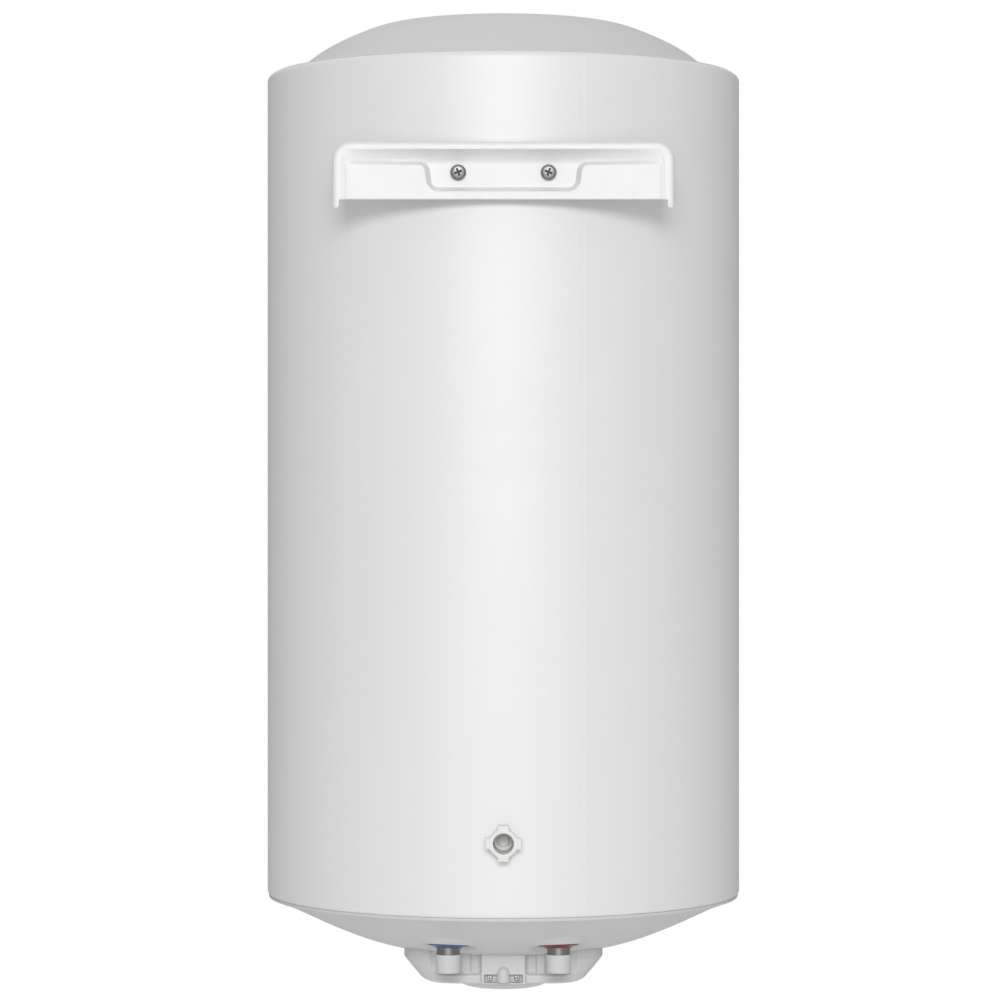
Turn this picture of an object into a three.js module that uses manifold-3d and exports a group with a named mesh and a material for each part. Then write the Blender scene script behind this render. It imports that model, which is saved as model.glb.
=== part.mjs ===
// A wall-hung electric tank water heater of about 90 litres, with its covers, tank, flange and controls.
// Millimetres, +Z up. The front faces -Y and the wall is the plane y = 0, behind the bracket.
import * as THREE from "three";
import { mergeVertices } from "three/addons/utils/BufferGeometryUtils.js";
import Module from "manifold-3d";

const wasm = await Module();
wasm.setup();

// ---------------------------------------------------------------- driving dimensions
const CASING_RADIUS = 222.5;
const CASING_HEIGHT = 770;
const CASING_SHEET = 1;
const CASING_EDGE = 3.5; // radius of the lower rolled edge
const CASING_CROWN_EDGE = 6; // radius of the upper rolled edge
const CASING_LIP = 214; // inner radius of the turned-in lips
const STAND_OFF = 14; // from the casing's back to the wall
const WALL_Y = CASING_RADIUS + STAND_OFF;

const COVER_WALL = 2.2;
const COVER_RIM = 221; // radius where the bottom cover stops
const TOP_RIM = 217; // radius where the top cover stops
const SKIRT_RADIUS = 213.4; // the covers' skirts fit inside the casing's lips
const SKIRT_WALL = 2;
const SKIRT_DEPTH = 8;
const COVER_OPENING = 72; // service opening of the bottom cover

const TANK_RADIUS = 198;
const TANK_WALL = 2;
const NECK_RADIUS = 46; // flange opening of the tank

const BRACKET_Z = 635.3; // the bracket's lower edge, above the casing's lower edge
const BRACKET_HALF_WIDTH = 150.4;
const BRACKET_HEIGHT = 51.4;
const BRACKET_DEPTH = 12.5;
const BRACKET_SHEET = 2.5;
const BRACKET_CORNER = 17;
const POCKET_DEPTH = 11.2;
const POCKET_BOTTOM = 9.1; // height of the pocket's lower edge above the bracket's
const SCREW_X = 40; // the two bracket screws stand this far each side of the middle
const SCREW_Z = 25.9;
const ORIGIN_Z = BRACKET_Z + POCKET_BOTTOM / 2; // the part's origin: middle of the bracket's lower strip

const SPACER_Z = 68.2;
const SPACER_BORE = 9.15;

const PIPE_X = 50; // cold at +X and hot at -X: 100 between the pipes
const PIPE_Y = 140;
const PIPE_RADIUS = 10.5; // G 1/2 thread
const PIPE_BORE = 7.5;
const PIPE_END = -56.2;
const PIPE_TOP = 16;
const CAP_BOTTOM = -57.7;
const CAP_LENGTH = 16.7;
const CAP_RADIUS = 11.4;
const CAP_BORE = 10.75;

const DIAL_Z = 130; // thermometer's centre, on the front
const DIAL_RADIUS = 27;

const FLANGE_TOP = -23.2;
const FLANGE_BOLTS = 6;
const BOLT_CIRCLE = 52;
const ELEMENT_X = 16;
const ELEMENT_Y = -30;
const ANODE_Y = 30;
const EARTH = [-30, 20];
const THERMOSTAT_LOW = -69;
const BUTTON_X = 17;

const FLOOR = -73; // the cover's flat underside
const COVER_BACK = 104;
const COVER_SCREWS = [[58, 56], [-58, 56], [-54, -54], [54, -54]];
const KNOB_RADIUS = 22.6;
const RECESS_RADIUS = 23.6;
const RECESS_FLOOR = -79;
const CORD_Y = 109;
const CORD_RADIUS = 4.2;
const PANEL_HALF_WIDTH = 20.4;
const PANEL_BACK = 110;
const CLAMP_SEAT = 101.6; // back wall of the recess that holds the cord clamp
const LAMP_X = 26;
const LAMP_Z = -60;

const GAP = 0.3; // between pieces that touch
const FACETS = 36; // round the visible shells
const HIDDEN_FACETS = 20; // round the tank and the foam

// ---------------------------------------------------------------- materials
function finish(color, roughness, metalness = 0) {
  return new THREE.MeshStandardMaterial({ color, roughness, metalness });
}
const casingPaint = finish(0xf2f2f1, 0.32);
const coverPlastic = finish(0xdcdddd, 0.45);
const bracketPaint = finish(0xf3f3f2, 0.35);
const whitePlastic = finish(0xececea, 0.5);
const zincSteel = finish(0x9a9a9c, 0.35, 0.9);
const darkSteel = finish(0x77787a, 0.3, 1);
const enamelSteel = finish(0x2f4058, 0.4, 0.2);
const bareSteel = finish(0x8d8f92, 0.4, 0.9);
const foam = finish(0xe6d9a8, 0.95);
const rubber = finish(0x2a2a2a, 0.85);
const copper = finish(0xb46e43, 0.35, 1);
const magnesium = finish(0xb9bbbd, 0.6, 0.8);
const bluePlastic = finish(0x1f4f9c, 0.45);
const redPlastic = finish(0xb62a2f, 0.45);
const brownInsulation = finish(0x5a3420, 0.45);
const greenInsulation = finish(0x8fb52c, 0.45);
const amberLens = finish(0xe06a1c, 0.2);
const blackPlastic = finish(0x303134, 0.5);
const glass = finish(0xe8f0f2, 0.05);

// ---------------------------------------------------------------- shape helpers
const point = (x, y) => new THREE.Vector2(x, y);

/** A closed three.js geometry as a manifold-3d solid. */
function solid(geometry) {
  const bare = new THREE.BufferGeometry();
  bare.setAttribute("position", geometry.getAttribute("position"));
  bare.setIndex(geometry.index);
  const merged = mergeVertices(bare, 1e-3);
  return new wasm.Manifold(
    new wasm.Mesh({
      numProp: 3,
      vertProperties: merged.getAttribute("position").array,
      triVerts: new Uint32Array(merged.index.array),
    }),
  );
}

/** A manifold-3d solid back as a three.js geometry. */
function geometryOf(made) {
  const { vertProperties, triVerts } = made.getMesh();
  const geometry = new THREE.BufferGeometry();
  geometry.setAttribute("position", new THREE.BufferAttribute(vertProperties, 3));
  geometry.setIndex(new THREE.BufferAttribute(triVerts, 1));
  geometry.computeVertexNormals();
  return geometry;
}

/** The first geometry joined with the others. */
function join(first, ...others) {
  return geometryOf(others.reduce((sum, other) => sum.add(solid(other)), solid(first)));
}

/** The first geometry with the others cut away. */
function cut(first, ...others) {
  return geometryOf(others.reduce((rest, other) => rest.subtract(solid(other)), solid(first)));
}

/** An anticlockwise (radius, height) profile turned round Z. It ends on the axis or closes on itself. */
function turned(profile, facets = FACETS) {
  return new THREE.LatheGeometry(profile, facets).rotateX(Math.PI / 2);
}

/** A closed ring profile: the points with the first one repeated. */
function closed(profile) {
  return [...profile, profile[0].clone()];
}

/** A cylinder along Z from one height to another. */
function upright(radius, low, high, facets = 16, topRadius = radius) {
  return new THREE.CylinderGeometry(topRadius, radius, high - low, facets)
    .rotateX(Math.PI / 2)
    .translate(0, 0, (low + high) / 2);
}

/** A cylinder along Y from one depth to another. */
function level(radius, near, far, facets = 16) {
  return new THREE.CylinderGeometry(radius, radius, far - near, facets).translate(0, (near + far) / 2, 0);
}

/** A box between two corners. */
function block(low, high) {
  const [x, y, z] = low.map((value, axis) => (value + high[axis]) / 2);
  const [width, depth, height] = low.map((value, axis) => high[axis] - value);
  return new THREE.BoxGeometry(width, depth, height).translate(x, y, z);
}

/** A shape drawn in x and z, extruded along Y from one depth to another. */
function slab(shape, near, far, curveSegments = 6) {
  return new THREE.ExtrudeGeometry(shape, { depth: far - near, bevelEnabled: false, curveSegments })
    .rotateX(Math.PI / 2)
    .translate(0, far, 0);
}

/** Smooth points through a few (radius, height) points. */
function smooth(corners, count) {
  return new THREE.SplineCurve(corners.map(([x, y]) => point(x, y))).getPoints(count);
}

/** A profile moved sideways, to the left of the way it runs. Points on the axis stay on it. */
function aside(profile, distance) {
  return profile.map((at, index) => {
    const before = profile[Math.max(index - 1, 0)];
    const after = profile[Math.min(index + 1, profile.length - 1)];
    const along = after.clone().sub(before).normalize();
    const moved = at.clone().add(point(-along.y, along.x).multiplyScalar(distance));
    return at.x === 0 ? point(0, moved.y) : moved;
  });
}

/** A round bar that follows a curve through the given points. */
function bar(places, radius, steps, sides = 8) {
  const corners = places.map((place) => new THREE.Vector3(...place));
  const path = new THREE.CatmullRomCurve3(corners, false, "centripetal");
  const section = new THREE.Shape(
    Array.from({ length: sides }, (_, side) => {
      const angle = (2 * Math.PI * side) / sides;
      return point(radius * Math.cos(angle), radius * Math.sin(angle));
    }),
  );
  return new THREE.ExtrudeGeometry(section, { steps, extrudePath: path, bevelEnabled: false });
}

/** A closed body through level outlines, each a ring of equally many Vector3 points, lowest ring first. */
function lofted(rings) {
  const count = rings[0].length;
  const positions = rings.flatMap((ring) => ring.flatMap((at) => at.toArray()));
  const faces = [];
  for (let ring = 0; ring + 1 < rings.length; ring++) {
    for (let side = 0; side < count; side++) {
      const next = (side + 1) % count;
      const [a, b] = [ring * count + side, ring * count + next];
      faces.push(a, b, b + count, a, b + count, a + count);
    }
  }
  const top = (rings.length - 1) * count;
  for (let side = 1; side + 1 < count; side++) {
    faces.push(0, side + 1, side, top, top + side, top + side + 1);
  }
  const geometry = new THREE.BufferGeometry();
  geometry.setAttribute("position", new THREE.Float32BufferAttribute(positions, 3));
  geometry.setIndex(faces);
  return geometry;
}

function part(name, geometry, material, place = [0, 0, 0]) {
  const mesh = new THREE.Mesh(geometry, material);
  mesh.name = name;
  mesh.position.set(...place);
  return mesh;
}

function assembly(place, ...members) {
  const group = new THREE.Group();
  group.position.set(...place);
  group.add(...members);
  return group;
}

// ---------------------------------------------------------------- casing and end covers
// Outer surfaces of the two end covers: radius, and height over or under the casing's edge.
const topCrown = smooth(
  [
    [0, 51], [50, 50.4], [92, 48.7], [115, 45.9], [145, 35.1], [175, 19.1],
    [190, 8], [198, 3.2], [207, 1.6], [TOP_RIM, 1.1],
  ],
  12,
);
const bottomCrown = smooth(
  [
    [COVER_OPENING, -52], [100, -48.1], [130, -40.3], [160, -28.8], [190, -15],
    [206, -7.6], [COVER_RIM, -2.2],
  ],
  9,
);

/** A quarter circle of the casing's rolled edge: from the lip's level to the upright wall, or back. */
function rolledEdge(edge, inset, centreZ, from, to) {
  const steps = 3;
  const radius = edge - inset;
  return Array.from({ length: steps + 1 }, (_, step) => {
    const angle = from + ((to - from) * step) / steps;
    return point(CASING_RADIUS - edge + radius * Math.cos(angle), centreZ + radius * Math.sin(angle));
  });
}

function outerCasing() {
  const [low, high] = [CASING_EDGE, CASING_HEIGHT - CASING_CROWN_EDGE];
  const quarter = Math.PI / 2;
  const shell = turned(
    closed([
      point(CASING_LIP, 0),
      ...rolledEdge(CASING_EDGE, 0, low, -quarter, 0),
      ...rolledEdge(CASING_CROWN_EDGE, 0, high, 0, quarter),
      point(CASING_LIP, CASING_HEIGHT),
      point(CASING_LIP, CASING_HEIGHT - CASING_SHEET),
      ...rolledEdge(CASING_CROWN_EDGE, CASING_SHEET, high, quarter, 0),
      ...rolledEdge(CASING_EDGE, CASING_SHEET, low, 0, -quarter),
      point(CASING_LIP, CASING_SHEET),
    ]),
  );
  return cut(
    shell,
    level(9.6, 190, 240).translate(SCREW_X, 0, BRACKET_Z + SCREW_Z),
    level(9.6, 190, 240).translate(-SCREW_X, 0, BRACKET_Z + SCREW_Z),
    level(12.7, 190, 240).translate(0, 0, SPACER_Z),
    level(DIAL_RADIUS + 1.8, -240, -190, 24).translate(0, 0, DIAL_Z),
  );
}

function topCover() {
  const inner = aside(topCrown.filter((at) => at.x < 206), -COVER_WALL).reverse();
  const skirtInside = SKIRT_RADIUS - SKIRT_WALL;
  return turned(
    [
      ...topCrown,
      point(TOP_RIM, GAP),
      point(SKIRT_RADIUS, GAP),
      point(SKIRT_RADIUS, -SKIRT_DEPTH),
      point(skirtInside, -SKIRT_DEPTH),
      point(skirtInside, -0.8),
      ...inner,
    ].reverse(),
  );
}

function bottomCover() {
  const inner = aside(bottomCrown.filter((at) => at.x < 206), COVER_WALL).reverse();
  const skirtInside = SKIRT_RADIUS - SKIRT_WALL;
  const shell = turned(
    closed([
      ...bottomCrown,
      point(COVER_RIM, -GAP),
      point(SKIRT_RADIUS, -GAP),
      point(SKIRT_RADIUS, SKIRT_DEPTH),
      point(skirtInside, SKIRT_DEPTH),
      point(skirtInside, -4),
      ...inner,
    ]),
  );
  const pipeHoles = [PIPE_X, -PIPE_X].map((x) => upright(18.2, -60, 0, 20).translate(x, PIPE_Y, 0));
  const screwHoles = COVER_SCREWS.map(([x, y]) => upright(2.3, -60, -40, 8).translate(x, y, 0));
  return cut(shell, ...pipeHoles, ...screwHoles);
}

// ---------------------------------------------------------------- tank and insulation
const tankBottom = smooth(
  [[NECK_RADIUS, -22.5], [80, -19], [130, -9.5], [165, 3], [187, 17], [TANK_RADIUS, 40]],
  5,
);
const tankTop = smooth(
  [[TANK_RADIUS, 722], [187, 748], [165, 764], [130, 777.5], [80, 786.5], [0, 790]],
  5,
);
const tankOutside = [...tankBottom, ...tankTop];

function innerTank() {
  const shell = turned(closed([...tankOutside, ...aside(tankOutside, TANK_WALL).reverse()]), HIDDEN_FACETS);
  const pipeHoles = [PIPE_X, -PIPE_X].map((x) => upright(11, -60, 40).translate(x, PIPE_Y, 0));
  return cut(shell, ...pipeHoles);
}

function foamInsulation() {
  const clear = COVER_WALL + 0.8;
  const shoulder = SKIRT_DEPTH + 2;
  const [inner, outer] = [208, CASING_RADIUS - CASING_SHEET - 1.6];
  const under = aside(bottomCrown.filter((at) => at.x < 206), clear);
  const over = aside(topCrown.filter((at) => at.x < 206), -clear).reverse();
  const overCasing = over.map((at) => point(at.x, at.y + CASING_HEIGHT));
  const shell = turned(
    closed([
      ...under,
      point(inner, -4),
      point(inner, shoulder),
      point(outer, shoulder),
      point(outer, CASING_HEIGHT - shoulder),
      point(inner, CASING_HEIGHT - shoulder),
      point(inner, CASING_HEIGHT - 3.5),
      ...overCasing,
      ...aside(tankOutside.filter((at) => at.x > 70 || at.y > 0), -0.7).reverse(),
    ]),
    HIDDEN_FACETS,
  );
  const bosses = [SCREW_X, -SCREW_X].map((x) => level(9.8, 185, 230).translate(x, 0, BRACKET_Z + SCREW_Z));
  const pipes = [PIPE_X, -PIPE_X].flatMap((x) =>
    [upright(11.2, -60, 40), upright(18.6, -60, -29.2)].map((hole) => hole.translate(x, PIPE_Y, 0)),
  );
  return cut(
    shell,
    ...bosses,
    ...pipes,
    block([-56, 180, BRACKET_Z + SCREW_Z - 33], [56, 204, BRACKET_Z + SCREW_Z + 33]),
    level(13, 202, 230).translate(0, 0, SPACER_Z),
    level(DIAL_RADIUS + 2.2, -230, -205, 24).translate(0, 0, DIAL_Z),
  );
}

// ---------------------------------------------------------------- wall bracket and its fixings
/** The steel strap welded to the tank, with two threaded bosses that come out through the casing. */
function tankHanger() {
  const [inner, outer, half] = [TANK_RADIUS + 0.8, TANK_RADIUS + 4.8, 0.245];
  const arc = new THREE.Shape();
  arc.absarc(0, 0, outer, Math.PI / 2 - half, Math.PI / 2 + half, false);
  arc.absarc(0, 0, inner, Math.PI / 2 + half, Math.PI / 2 - half, true);
  const strap = new THREE.ExtrudeGeometry(arc, { depth: 60, bevelEnabled: false, curveSegments: 8 });
  const bosses = [SCREW_X, -SCREW_X].map((x) => level(9, 197, CASING_RADIUS).translate(x, 0, 30));
  const threads = [SCREW_X, -SCREW_X].map((x) => level(4, 204, 230, 12).translate(x, 0, 30));
  return cut(join(strap, ...bosses), ...threads);
}

/** The bracket's outline in x and z, from its lower edge, moved inwards by inset. */
function bracketOutline(inset) {
  const side = BRACKET_HALF_WIDTH - inset;
  const top = BRACKET_HEIGHT - inset;
  const corner = BRACKET_CORNER - inset;
  const outline = new THREE.Shape();
  outline.moveTo(side, 0);
  outline.lineTo(side, top - corner);
  outline.absarc(side - corner, top - corner, corner, 0, Math.PI / 2, false);
  outline.absarc(corner - side, top - corner, corner, Math.PI / 2, Math.PI, false);
  outline.lineTo(-side, 0);
  return outline;
}

/** The pocket's outline: wide along the top, then narrowing in two S-curves to its lower edge. */
function pocketOutline(grow) {
  const low = POCKET_BOTTOM - grow;
  const outline = new THREE.Shape();
  outline.moveTo(54, low);
  outline.quadraticCurveTo(60 + grow, low, 61.5 + grow, 17);
  outline.lineTo(63.5 + grow, 26);
  outline.quadraticCurveTo(65 + grow, 32.9 - grow, 70, 32.9 - grow);
  outline.lineTo(70, 46.1 + grow);
  outline.lineTo(-70, 46.1 + grow);
  outline.lineTo(-70, 32.9 - grow);
  outline.quadraticCurveTo(-65 - grow, 32.9 - grow, -63.5 - grow, 26);
  outline.lineTo(-61.5 - grow, 17);
  outline.quadraticCurveTo(-60 - grow, low, -54, low);
  return outline;
}

function wallBracket() {
  const sheet = BRACKET_SHEET;
  const channelDepth = 6;
  const prong = 6.5;
  const prongs = [1, -1].map((side) => {
    const foot = new THREE.Shape();
    const [outer, inner] = [side * BRACKET_HALF_WIDTH, side * (BRACKET_HALF_WIDTH - prong)];
    foot.moveTo(outer, 1);
    foot.lineTo(inner, 1);
    foot.lineTo(inner, -3.2);
    foot.quadraticCurveTo(inner, -6.3, (outer + inner) / 2, -6.3);
    foot.quadraticCurveTo(outer, -6.3, outer, -3.2);
    return slab(foot, -sheet, 0);
  });
  const pan = cut(
    slab(bracketOutline(0), -BRACKET_DEPTH, 0),
    slab(bracketOutline(sheet), -BRACKET_DEPTH - 1, -sheet),
    block([-147.9, -BRACKET_DEPTH - 1, -1], [147.9, -sheet, 1]),
  );
  const tub = join(
    pan,
    ...prongs,
    block([-141.5, -channelDepth - sheet, 30.4], [141.5, -1, 50]),
    slab(pocketOutline(sheet), -POCKET_DEPTH - sheet, -1),
  );
  const screwHoles = [SCREW_X, -SCREW_X].map((x) => level(4.5, -20, 1, 16).translate(x, 0, SCREW_Z));
  return cut(
    tub,
    block([-139, -channelDepth, 32.9], [139, 1, 46.1]),
    slab(pocketOutline(0), -POCKET_DEPTH, 1),
    ...screwHoles,
  );
}

/** A pan-head machine screw along -Y, its head's seat at y = 0, with a cross recess. */
function bracketScrew() {
  const head = turned(
    [point(0, 0), point(7, 0), point(7, 2), point(5.4, 3.9), point(2.6, 4.8), point(0, 5)],
    16,
  );
  const arms = [0, Math.PI / 2].map((turn) => block([-3.4, -0.7, 2.4], [3.4, 0.7, 6]).rotateZ(turn));
  const shank = upright(3.7, -17, 0.5, 12);
  return cut(join(head, shank), ...arms).rotateX(-Math.PI / 2);
}

/** The lower stand-off: a socket through the casing with four lugs round it. */
function wallSpacer() {
  const [floor, back] = [206, 203];
  const lugs = [0, 1, 2, 3].map((turn) => {
    const lug = new THREE.Shape([point(10, -4.8), point(15.9, -3.9), point(15.9, 3.9), point(10, 4.8)]);
    return slab(lug, CASING_RADIUS + 0.6, WALL_Y).rotateY((turn * Math.PI) / 2);
  });
  return cut(join(level(12.2, back, WALL_Y), ...lugs), level(SPACER_BORE, floor, WALL_Y + 1));
}

function spacerBung() {
  return join(level(8.8, 206.3, 207.7), level(4.55, 207, 210.6, 12));
}

// ---------------------------------------------------------------- water connections
function nipple() {
  return turned(
    closed([
      point(PIPE_BORE, PIPE_END),
      point(PIPE_RADIUS - 0.7, PIPE_END),
      point(PIPE_RADIUS, PIPE_END + 0.7),
      point(PIPE_RADIUS, PIPE_TOP),
      point(PIPE_BORE, PIPE_TOP),
    ]),
    20,
  );
}

/** A coloured collar round a pipe, flared towards the bottom cover it lies on. */
function rosette(side) {
  const flare = turned(
    closed([
      point(10.9, -3), point(11.8, -3), point(13.2, -1.6), point(17.4, -0.5), point(17.4, 0.2),
      point(12.8, 1.8), point(12.8, 3), point(10.9, 3),
    ]),
    20,
  );
  const lean = new THREE.Matrix4().makeBasis(
    new THREE.Vector3(1, 0, 0.045 * side),
    new THREE.Vector3(0, 1, 0.125),
    new THREE.Vector3(0, 0, 1),
  );
  return flare.applyMatrix4(lean);
}

function threadCap() {
  return turned(
    [
      point(0, 0),
      point(CAP_RADIUS - 0.6, 0),
      point(CAP_RADIUS, 0.6),
      point(CAP_RADIUS, CAP_LENGTH),
      point(CAP_BORE, CAP_LENGTH),
      point(CAP_BORE, 1.2),
      point(0, 1.2),
    ],
    20,
  );
}

/** The slotted deflector on the cold pipe, inside the tank. */
function inletDiffuser() {
  const hat = turned(
    [
      point(0, 30),
      point(12.4, 30),
      point(12.4, PIPE_TOP + 2),
      point(11.1, PIPE_TOP + 1),
      point(11.1, PIPE_TOP - 6),
      point(14, PIPE_TOP - 6),
      point(14, 33),
      point(0, 33),
    ],
    16,
  );
  const slots = [0, 1, 2].map((turn) => block([-20, -1.6, 20], [20, 1.6, 27]).rotateZ((turn * Math.PI) / 3));
  return cut(hat, ...slots);
}

function hotOutletTube() {
  return turned(closed([point(5, -10), point(6.5, -10), point(6.5, 756), point(5, 756)]), 14);
}

// ---------------------------------------------------------------- flange, heater and anode

function boltPlace(index) {
  const angle = ((index + 0.5) * 2 * Math.PI) / FLANGE_BOLTS;
  return [BOLT_CIRCLE * Math.cos(angle), BOLT_CIRCLE * Math.sin(angle)];
}

function boltHoles(radius, low, high) {
  return Array.from({ length: FLANGE_BOLTS }, (_, index) => {
    const [x, y] = boltPlace(index);
    return upright(radius, low, high, 10).translate(x, y, 0);
  });
}

function flangeCollar() {
  const ring = turned(
    closed([point(NECK_RADIUS, -9), point(63, -9), point(63, 0), point(NECK_RADIUS, 0)]),
    32,
  );
  return cut(ring, ...boltHoles(4.3, -12, -1));
}

function flangeGasket() {
  return turned(closed([point(41, -2.4), point(46.5, -2.4), point(46.5, 0), point(41, 0)]), 32);
}

function flangePlate() {
  const holes = [ELEMENT_X, -ELEMENT_X].map((x) => upright(4.6, -9, 3, 12).translate(x, ELEMENT_Y, 0));
  return cut(
    upright(62, -5, 0, 32),
    ...holes,
    ...boltHoles(4.6, -9, 3),
    upright(4.3, -9, 3, 12).translate(0, ANODE_Y, 0),
    upright(5.3, -9, 3, 14),
    upright(2.4, -9, 3, 10).translate(...EARTH, 0),
  );
}

/** A hexagon-head bolt standing up from its head, the head's seat at z = 0. */
function hexBolt(radius, acrossCorners, head, length) {
  return join(upright(acrossCorners / 2, -head, 0, 6), upright(radius, -0.5, length, 10));
}

function heatingElement() {
  const [foot, bend, low] = [60, 250, -48];
  const arch = Array.from({ length: 5 }, (_, step) => {
    const angle = (Math.PI * step) / 4;
    return [ELEMENT_X * Math.cos(angle), ELEMENT_Y, bend + ELEMENT_X * Math.sin(angle)];
  });
  const places = [[ELEMENT_X, ELEMENT_Y, low], [ELEMENT_X, ELEMENT_Y, foot], ...arch];
  places.push([-ELEMENT_X, ELEMENT_Y, foot], [-ELEMENT_X, ELEMENT_Y, low]);
  return bar(places, 4.2, 30, 8);
}

function anodeRod() {
  return join(upright(10.5, -14, 190, 16, 9.5), upright(3.9, -52, -13, 10));
}

function thermowell() {
  return turned(
    [point(0, 240), point(3.8, 240), point(3.8, -42), point(5, -42), point(5, 241), point(0, 244)],
    14,
  );
}

// ---------------------------------------------------------------- controls inside the electric cover
function thermostatBody() {
  return cut(
    block([-26, -17, THERMOSTAT_LOW], [26, 17, -43]),
    upright(3.4, THERMOSTAT_LOW - 2, -56, 12),
    upright(2.8, THERMOSTAT_LOW - 2, -60.5, 10).translate(BUTTON_X, 0, 0),
    upright(3.6, -50, -40, 12),
  );
}

/** The shaft between thermostat and knob, with its flat. */
function thermostatSpindle() {
  return cut(upright(3, -84, -57, 12), block([-4, 2, -85], [4, 4, -74]));
}

function cutoutButton() {
  return join(upright(2.4, -72, -65, 10), upright(1.4, -65.5, -63, 8));
}

function terminalBlock() {
  const wells = [-14, 0, 14].map((x) => upright(2.6, -71, -62, 10).translate(x, 81, 0));
  return cut(block([-22, 74, -69], [22, 88, -56]), ...wells);
}

// ---------------------------------------------------------------- electric cover
/** One level of the cover: straight at the back, round-cornered at the sides, a wide bow at the front. */
function coverLevel([z, half, back, front, corner], inset) {
  const ring = [];
  const bow = half - inset - 4;
  const quarter = (x, y, radiusX, radiusY, from) => {
    const steps = 5;
    for (let step = 0; step <= steps; step++) {
      const angle = from + (Math.PI / 2) * (step / steps);
      ring.push(new THREE.Vector3(x + radiusX * Math.cos(angle), y + radiusY * Math.sin(angle), z));
    }
  };
  const side = half - inset;
  const rear = back - inset;
  const radius = corner - inset;
  quarter(side - radius, rear - radius, radius, radius, 0);
  quarter(radius - side, rear - radius, radius, radius, Math.PI / 2);
  quarter(-side + bow, front + inset + bow * 0.75, bow, bow * 0.75, Math.PI);
  quarter(side - bow, front + inset + bow * 0.75, bow, bow * 0.75, 1.5 * Math.PI);
  return ring;
}

// Height, half width, back, front and corner radius at each level, from the floor up.
const COVER_LEVELS = [
  [FLOOR, 66, COVER_BACK - 1.5, -84, 20],
  [FLOOR + 0.9, 70, COVER_BACK, -88, 23],
  [-70, 75, COVER_BACK, -92, 27],
  [-60, 84.5, COVER_BACK, -101, 34],
  [-51.5, 92, COVER_BACK, -108, 40],
  [-20, 92, COVER_BACK, -108, 40],
];

/** The round boss under the cover, domed below, that the knob sits in. */
function knobBoss(inset) {
  const face = smooth([[0, -89.2], [20, -88.5], [37, -86.6], [43, -83.8], [50, -72]], 6);
  const inside = inset ? aside(face, inset) : face;
  return turned([...inside, point(inside[inside.length - 1].x, -68), point(0, -68)], 32);
}

function electricCover() {
  const outer = lofted(COVER_LEVELS.map((row) => coverLevel(row, 0)));
  const raised = COVER_LEVELS.map(([z, ...row]) => [z === FLOOR ? FLOOR + COVER_WALL : z, ...row]);
  const hollowLevels = raised.filter(([z]) => z !== FLOOR + 0.9);
  const inner = lofted(hollowLevels.map((row) => coverLevel(row, COVER_WALL)));
  const bays = [1, -1].map((side) => {
    const [near, far] = [19, 72].map((x) => x * side).sort((a, b) => a - b);
    return block([near, 96.8, -66.8], [far, 102.5, -30]);
  });
  const bayCuts = [1, -1].map((side) => {
    const [near, far] = [PANEL_HALF_WIDTH + 0.8, 68].map((x) => x * side).sort((a, b) => a - b);
    return block([near, 99, -64.6], [far, 106, -28]);
  });
  const shell = join(
    cut(outer, inner),
    ...bays,
    block([-PANEL_HALF_WIDTH, 99, FLOOR], [PANEL_HALF_WIDTH, PANEL_BACK, -30]),
  );
  const withBoss = cut(join(shell, knobBoss(0)), knobBoss(COVER_WALL), upright(46, -72, -60, 32));
  const cup = upright(RECESS_RADIUS + 2, -88, RECESS_FLOOR + COVER_WALL, 32);
  const walls = join(withBoss, cup);
  const dome = turned([point(0, -52.5), ...aside(bottomCrown, -0.5), point(COVER_RIM, 10), point(0, 10)]);
  const heads = COVER_SCREWS.map(([x, y]) => upright(2.4, FLOOR - 1, FLOOR + 4, 8).translate(x, y, 0));
  return cut(
    walls,
    upright(RECESS_RADIUS, -95, RECESS_FLOOR, 32),
    upright(4.5, -95, -60, 12),
    ...bayCuts,
    block([-17.4, CLAMP_SEAT, -71.4], [17.4, 120, -64]),
    upright(CORD_RADIUS, -80, -63, 16).translate(0, CORD_Y, 0),
    level(CORD_RADIUS, 85, CORD_Y, 16).translate(0, 0, -63),
    ...heads,
    level(4.2, -120, -85, 16).translate(LAMP_X, 0, LAMP_Z),
    ...[12.6, -12.6].map((x) => level(1.6, 98, 110, 8).translate(x, 0, -67.7)),
    dome,
  );
}

/** The saddle over the cord's way out, with an ear each side for its screws. */
function cordClamp() {
  const saddle = join(
    upright(5.6, -71.1, -62, 16),
    new THREE.SphereGeometry(5.6, 16, 8).rotateX(Math.PI / 2).translate(0, 0, -62),
  );
  const front = cut(saddle.translate(0, CORD_Y, 0), block([-8, 90, -80], [8, PANEL_BACK + GAP, -40]));
  const ears = block([-17, CLAMP_SEAT + GAP, -71.1], [17, CLAMP_SEAT + 2.2, -64.3]);
  const bridge = block([-5.5, CLAMP_SEAT + 1, -71.1], [5.5, PANEL_BACK + 1, -64.3]);
  const screwHoles = [12.6, -12.6].map((x) => level(1.6, 100, 112, 8).translate(x, 0, -67.7));
  return cut(
    join(front, ears, bridge),
    upright(CORD_RADIUS, -80, -63, 16).translate(0, CORD_Y, 0),
    new THREE.SphereGeometry(CORD_RADIUS, 16, 8).rotateX(Math.PI / 2).translate(0, CORD_Y, -63),
    ...screwHoles,
  );
}

/** A small pan-head screw up +Z, its head's seat at z = 0. */
function smallScrew(headRadius, head, radius, length) {
  const rim = turned(
    [
      point(0, -head),
      point(headRadius * 0.55, -head),
      point(headRadius, -head * 0.45),
      point(headRadius, 0),
      point(0, 0),
    ],
    12,
  );
  return cut(
    join(rim, upright(radius, -0.4, length, 8)),
    block([-headRadius * 0.6, -0.35, -head - 1], [headRadius * 0.6, 0.35, -head * 0.5]),
    block([-0.35, -headRadius * 0.6, -head - 1], [0.35, headRadius * 0.6, -head * 0.5]),
  );
}

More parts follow.
